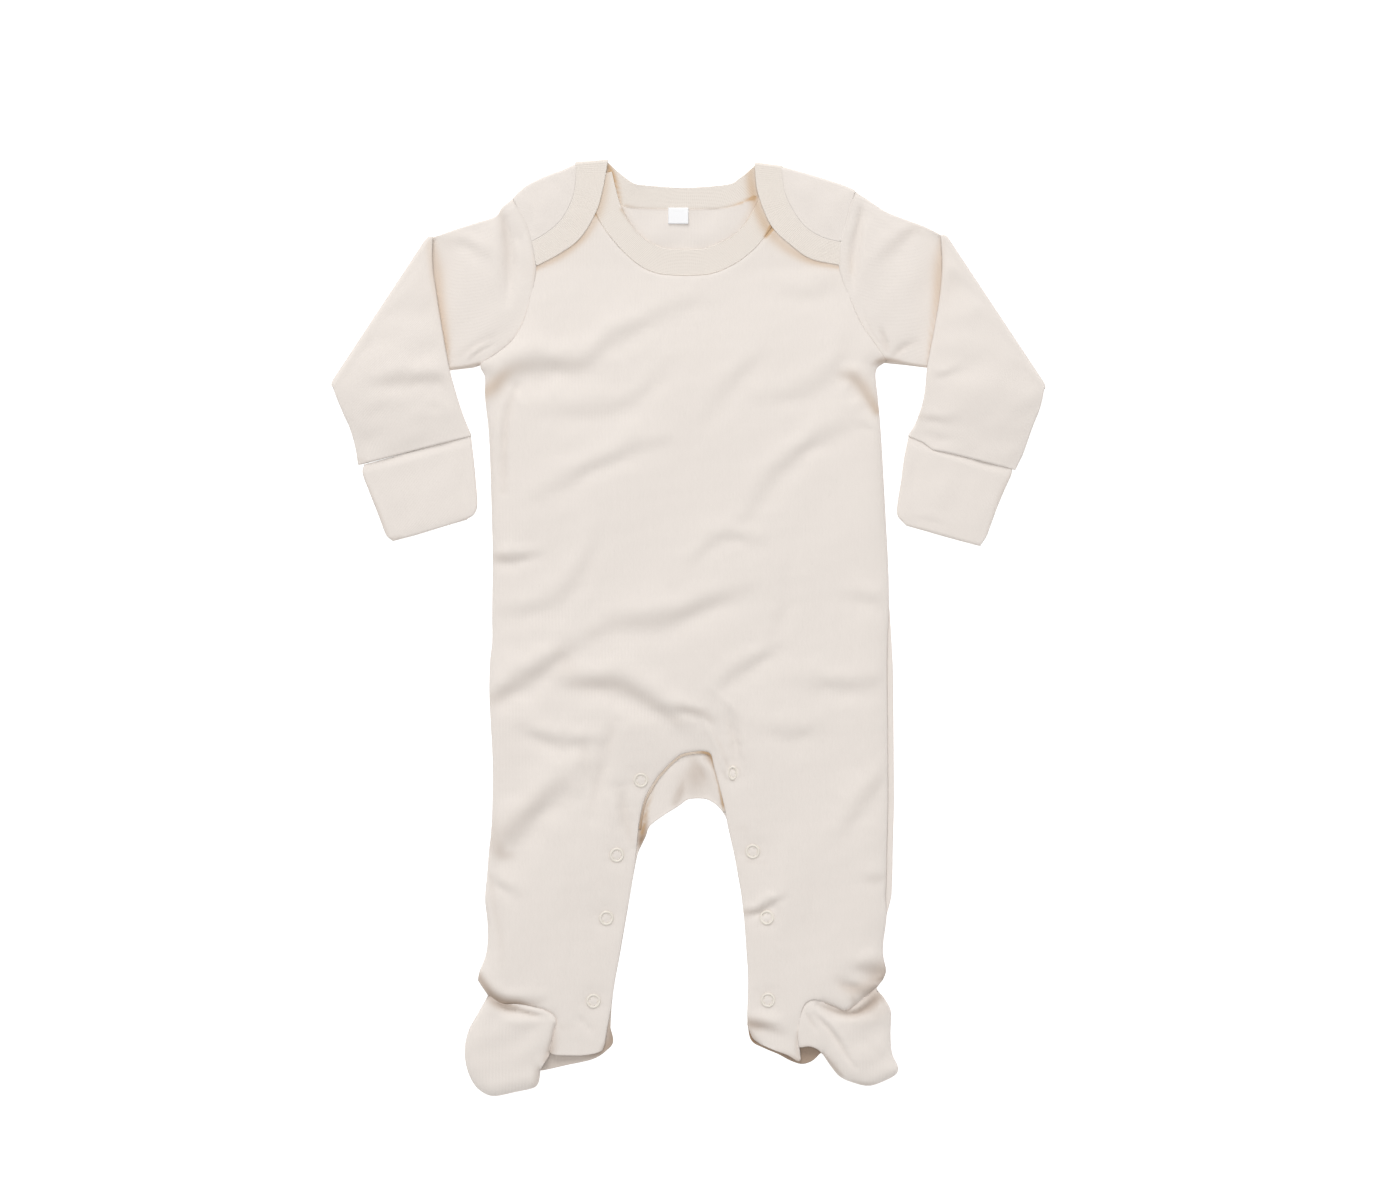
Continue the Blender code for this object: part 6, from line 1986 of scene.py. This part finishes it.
class StageSettings(bpy.types.PropertyGroup):
    """The floor and lights."""

    floor_colour: FloatVectorProperty(
        name="Floor", description="Colour of the floor", default=(0.5, 0.5, 0.5), **COLOUR,
    )
    floor_glow: FloatProperty(
        name="Floor glow", description="Light that the floor gives off itself", default=0.8, min=0.0, max=4.0,
    )
    key_power: FloatProperty(
        name="Key", description="Power of the light above the neck",
        default=80.0, min=0.0, max=500.0, unit="POWER",
    )
    overhead_power: FloatProperty(
        name="Overhead", description="Power of the light overhead",
        default=66.0, min=0.0, max=500.0, unit="POWER",
    )
    room_light: FloatProperty(
        name="Room light", description="Strength of the light from all round", default=0.45, min=0.0, max=4.0,
    )


class SLEEPSUIT_OT_panels(bpy.types.Operator):
    """Sew the front, and the back with its envelope flaps"""

    bl_idname = "sleepsuit.panels"
    bl_label = "Front and back"

    def execute(self, context):
        sew_front()
        sew_back()
        return {"FINISHED"}


class SLEEPSUIT_OT_bindings(bpy.types.Operator):
    """Sew the rib bindings round the neck and the facing in the crotch"""

    bl_idname = "sleepsuit.bindings"
    bl_label = "Bindings"

    def execute(self, context):
        sew_front_binding()
        sew_back_binding()
        sew_facing()
        return {"FINISHED"}


class SLEEPSUIT_OT_sleeves(bpy.types.Operator):
    """Sew both sleeves and their cuffs"""

    bl_idname = "sleepsuit.sleeves"
    bl_label = "Sleeves"

    def execute(self, context):
        for side in HALVES:
            sew_sleeve(side)
            sew_cuff(side)
        return {"FINISHED"}


class SLEEPSUIT_OT_feet(bpy.types.Operator):
    """Sew both feet's tops and soles"""

    bl_idname = "sleepsuit.feet"
    bl_label = "Feet"

    def execute(self, context):
        for side in HALVES:
            sew_foot(side)
        return {"FINISHED"}


class SLEEPSUIT_OT_poppers(bpy.types.Operator):
    """Fit the poppers along the inside of both legs"""

    bl_idname = "sleepsuit.poppers"
    bl_label = "Poppers"

    def execute(self, context):
        trim = context.scene.sleepsuit_trim
        fit_poppers(trim.popper_radius, trim.popper_wire)
        return {"FINISHED"}


class SLEEPSUIT_OT_label(bpy.types.Operator):
    """Sew the bare label to the back of the neck"""

    bl_idname = "sleepsuit.label"
    bl_label = "Label"

    def execute(self, context):
        sew_label()
        return {"FINISHED"}


class SLEEPSUIT_OT_stitches(bpy.types.Operator):
    """Stitch the plackets and the neck's seams"""

    bl_idname = "sleepsuit.stitches"
    bl_label = "Stitches"

    def execute(self, context):
        trim = context.scene.sleepsuit_trim
        stitch_seams(trim.stitch_length, trim.stitch_gap, trim.thread)
        return {"FINISHED"}


class SLEEPSUIT_OT_stage(bpy.types.Operator):
    """Set the floor, the lights and the camera"""

    bl_idname = "sleepsuit.stage"
    bl_label = "Stage"

    def execute(self, context):
        set_stage(context.scene.sleepsuit_stage)
        return {"FINISHED"}


STEPS = (
    SLEEPSUIT_OT_panels, SLEEPSUIT_OT_bindings, SLEEPSUIT_OT_sleeves, SLEEPSUIT_OT_feet,
    SLEEPSUIT_OT_poppers, SLEEPSUIT_OT_label, SLEEPSUIT_OT_stitches, SLEEPSUIT_OT_stage,
)


class SLEEPSUIT_PT_panel(bpy.types.Panel):
    """The sleepsuit's settings and steps"""

    bl_idname = "SLEEPSUIT_PT_panel"
    bl_label = "Sleepsuit"
    bl_space_type = "VIEW_3D"
    bl_region_type = "UI"
    bl_category = "Sleepsuit"

    def draw(self, context):
        for group in SETTINGS:
            box = self.layout.box()
            for name in SETTINGS[group].__annotations__:
                box.prop(getattr(context.scene, group), name)
        for step in STEPS:
            self.layout.operator(step.bl_idname)


SETTINGS = {
    "sleepsuit_cloth": ClothSettings,
    "sleepsuit_trim": TrimSettings,
    "sleepsuit_stage": StageSettings,
}


def register():
    for group in (*SETTINGS.values(), *STEPS, SLEEPSUIT_PT_panel):
        bpy.utils.register_class(group)
    for name, group in SETTINGS.items():
        setattr(bpy.types.Scene, name, PointerProperty(type=group))


def unregister():
    for name in SETTINGS:
        delattr(bpy.types.Scene, name)
    for group in (SLEEPSUIT_PT_panel, *reversed(STEPS), *SETTINGS.values()):
        bpy.utils.unregister_class(group)


def main():
    register()
    for step in STEPS:
        getattr(bpy.ops.sleepsuit, step.bl_idname.split(".")[1])()
    bpy.context.view_layer.update()


if __name__ == "__main__":
    main()
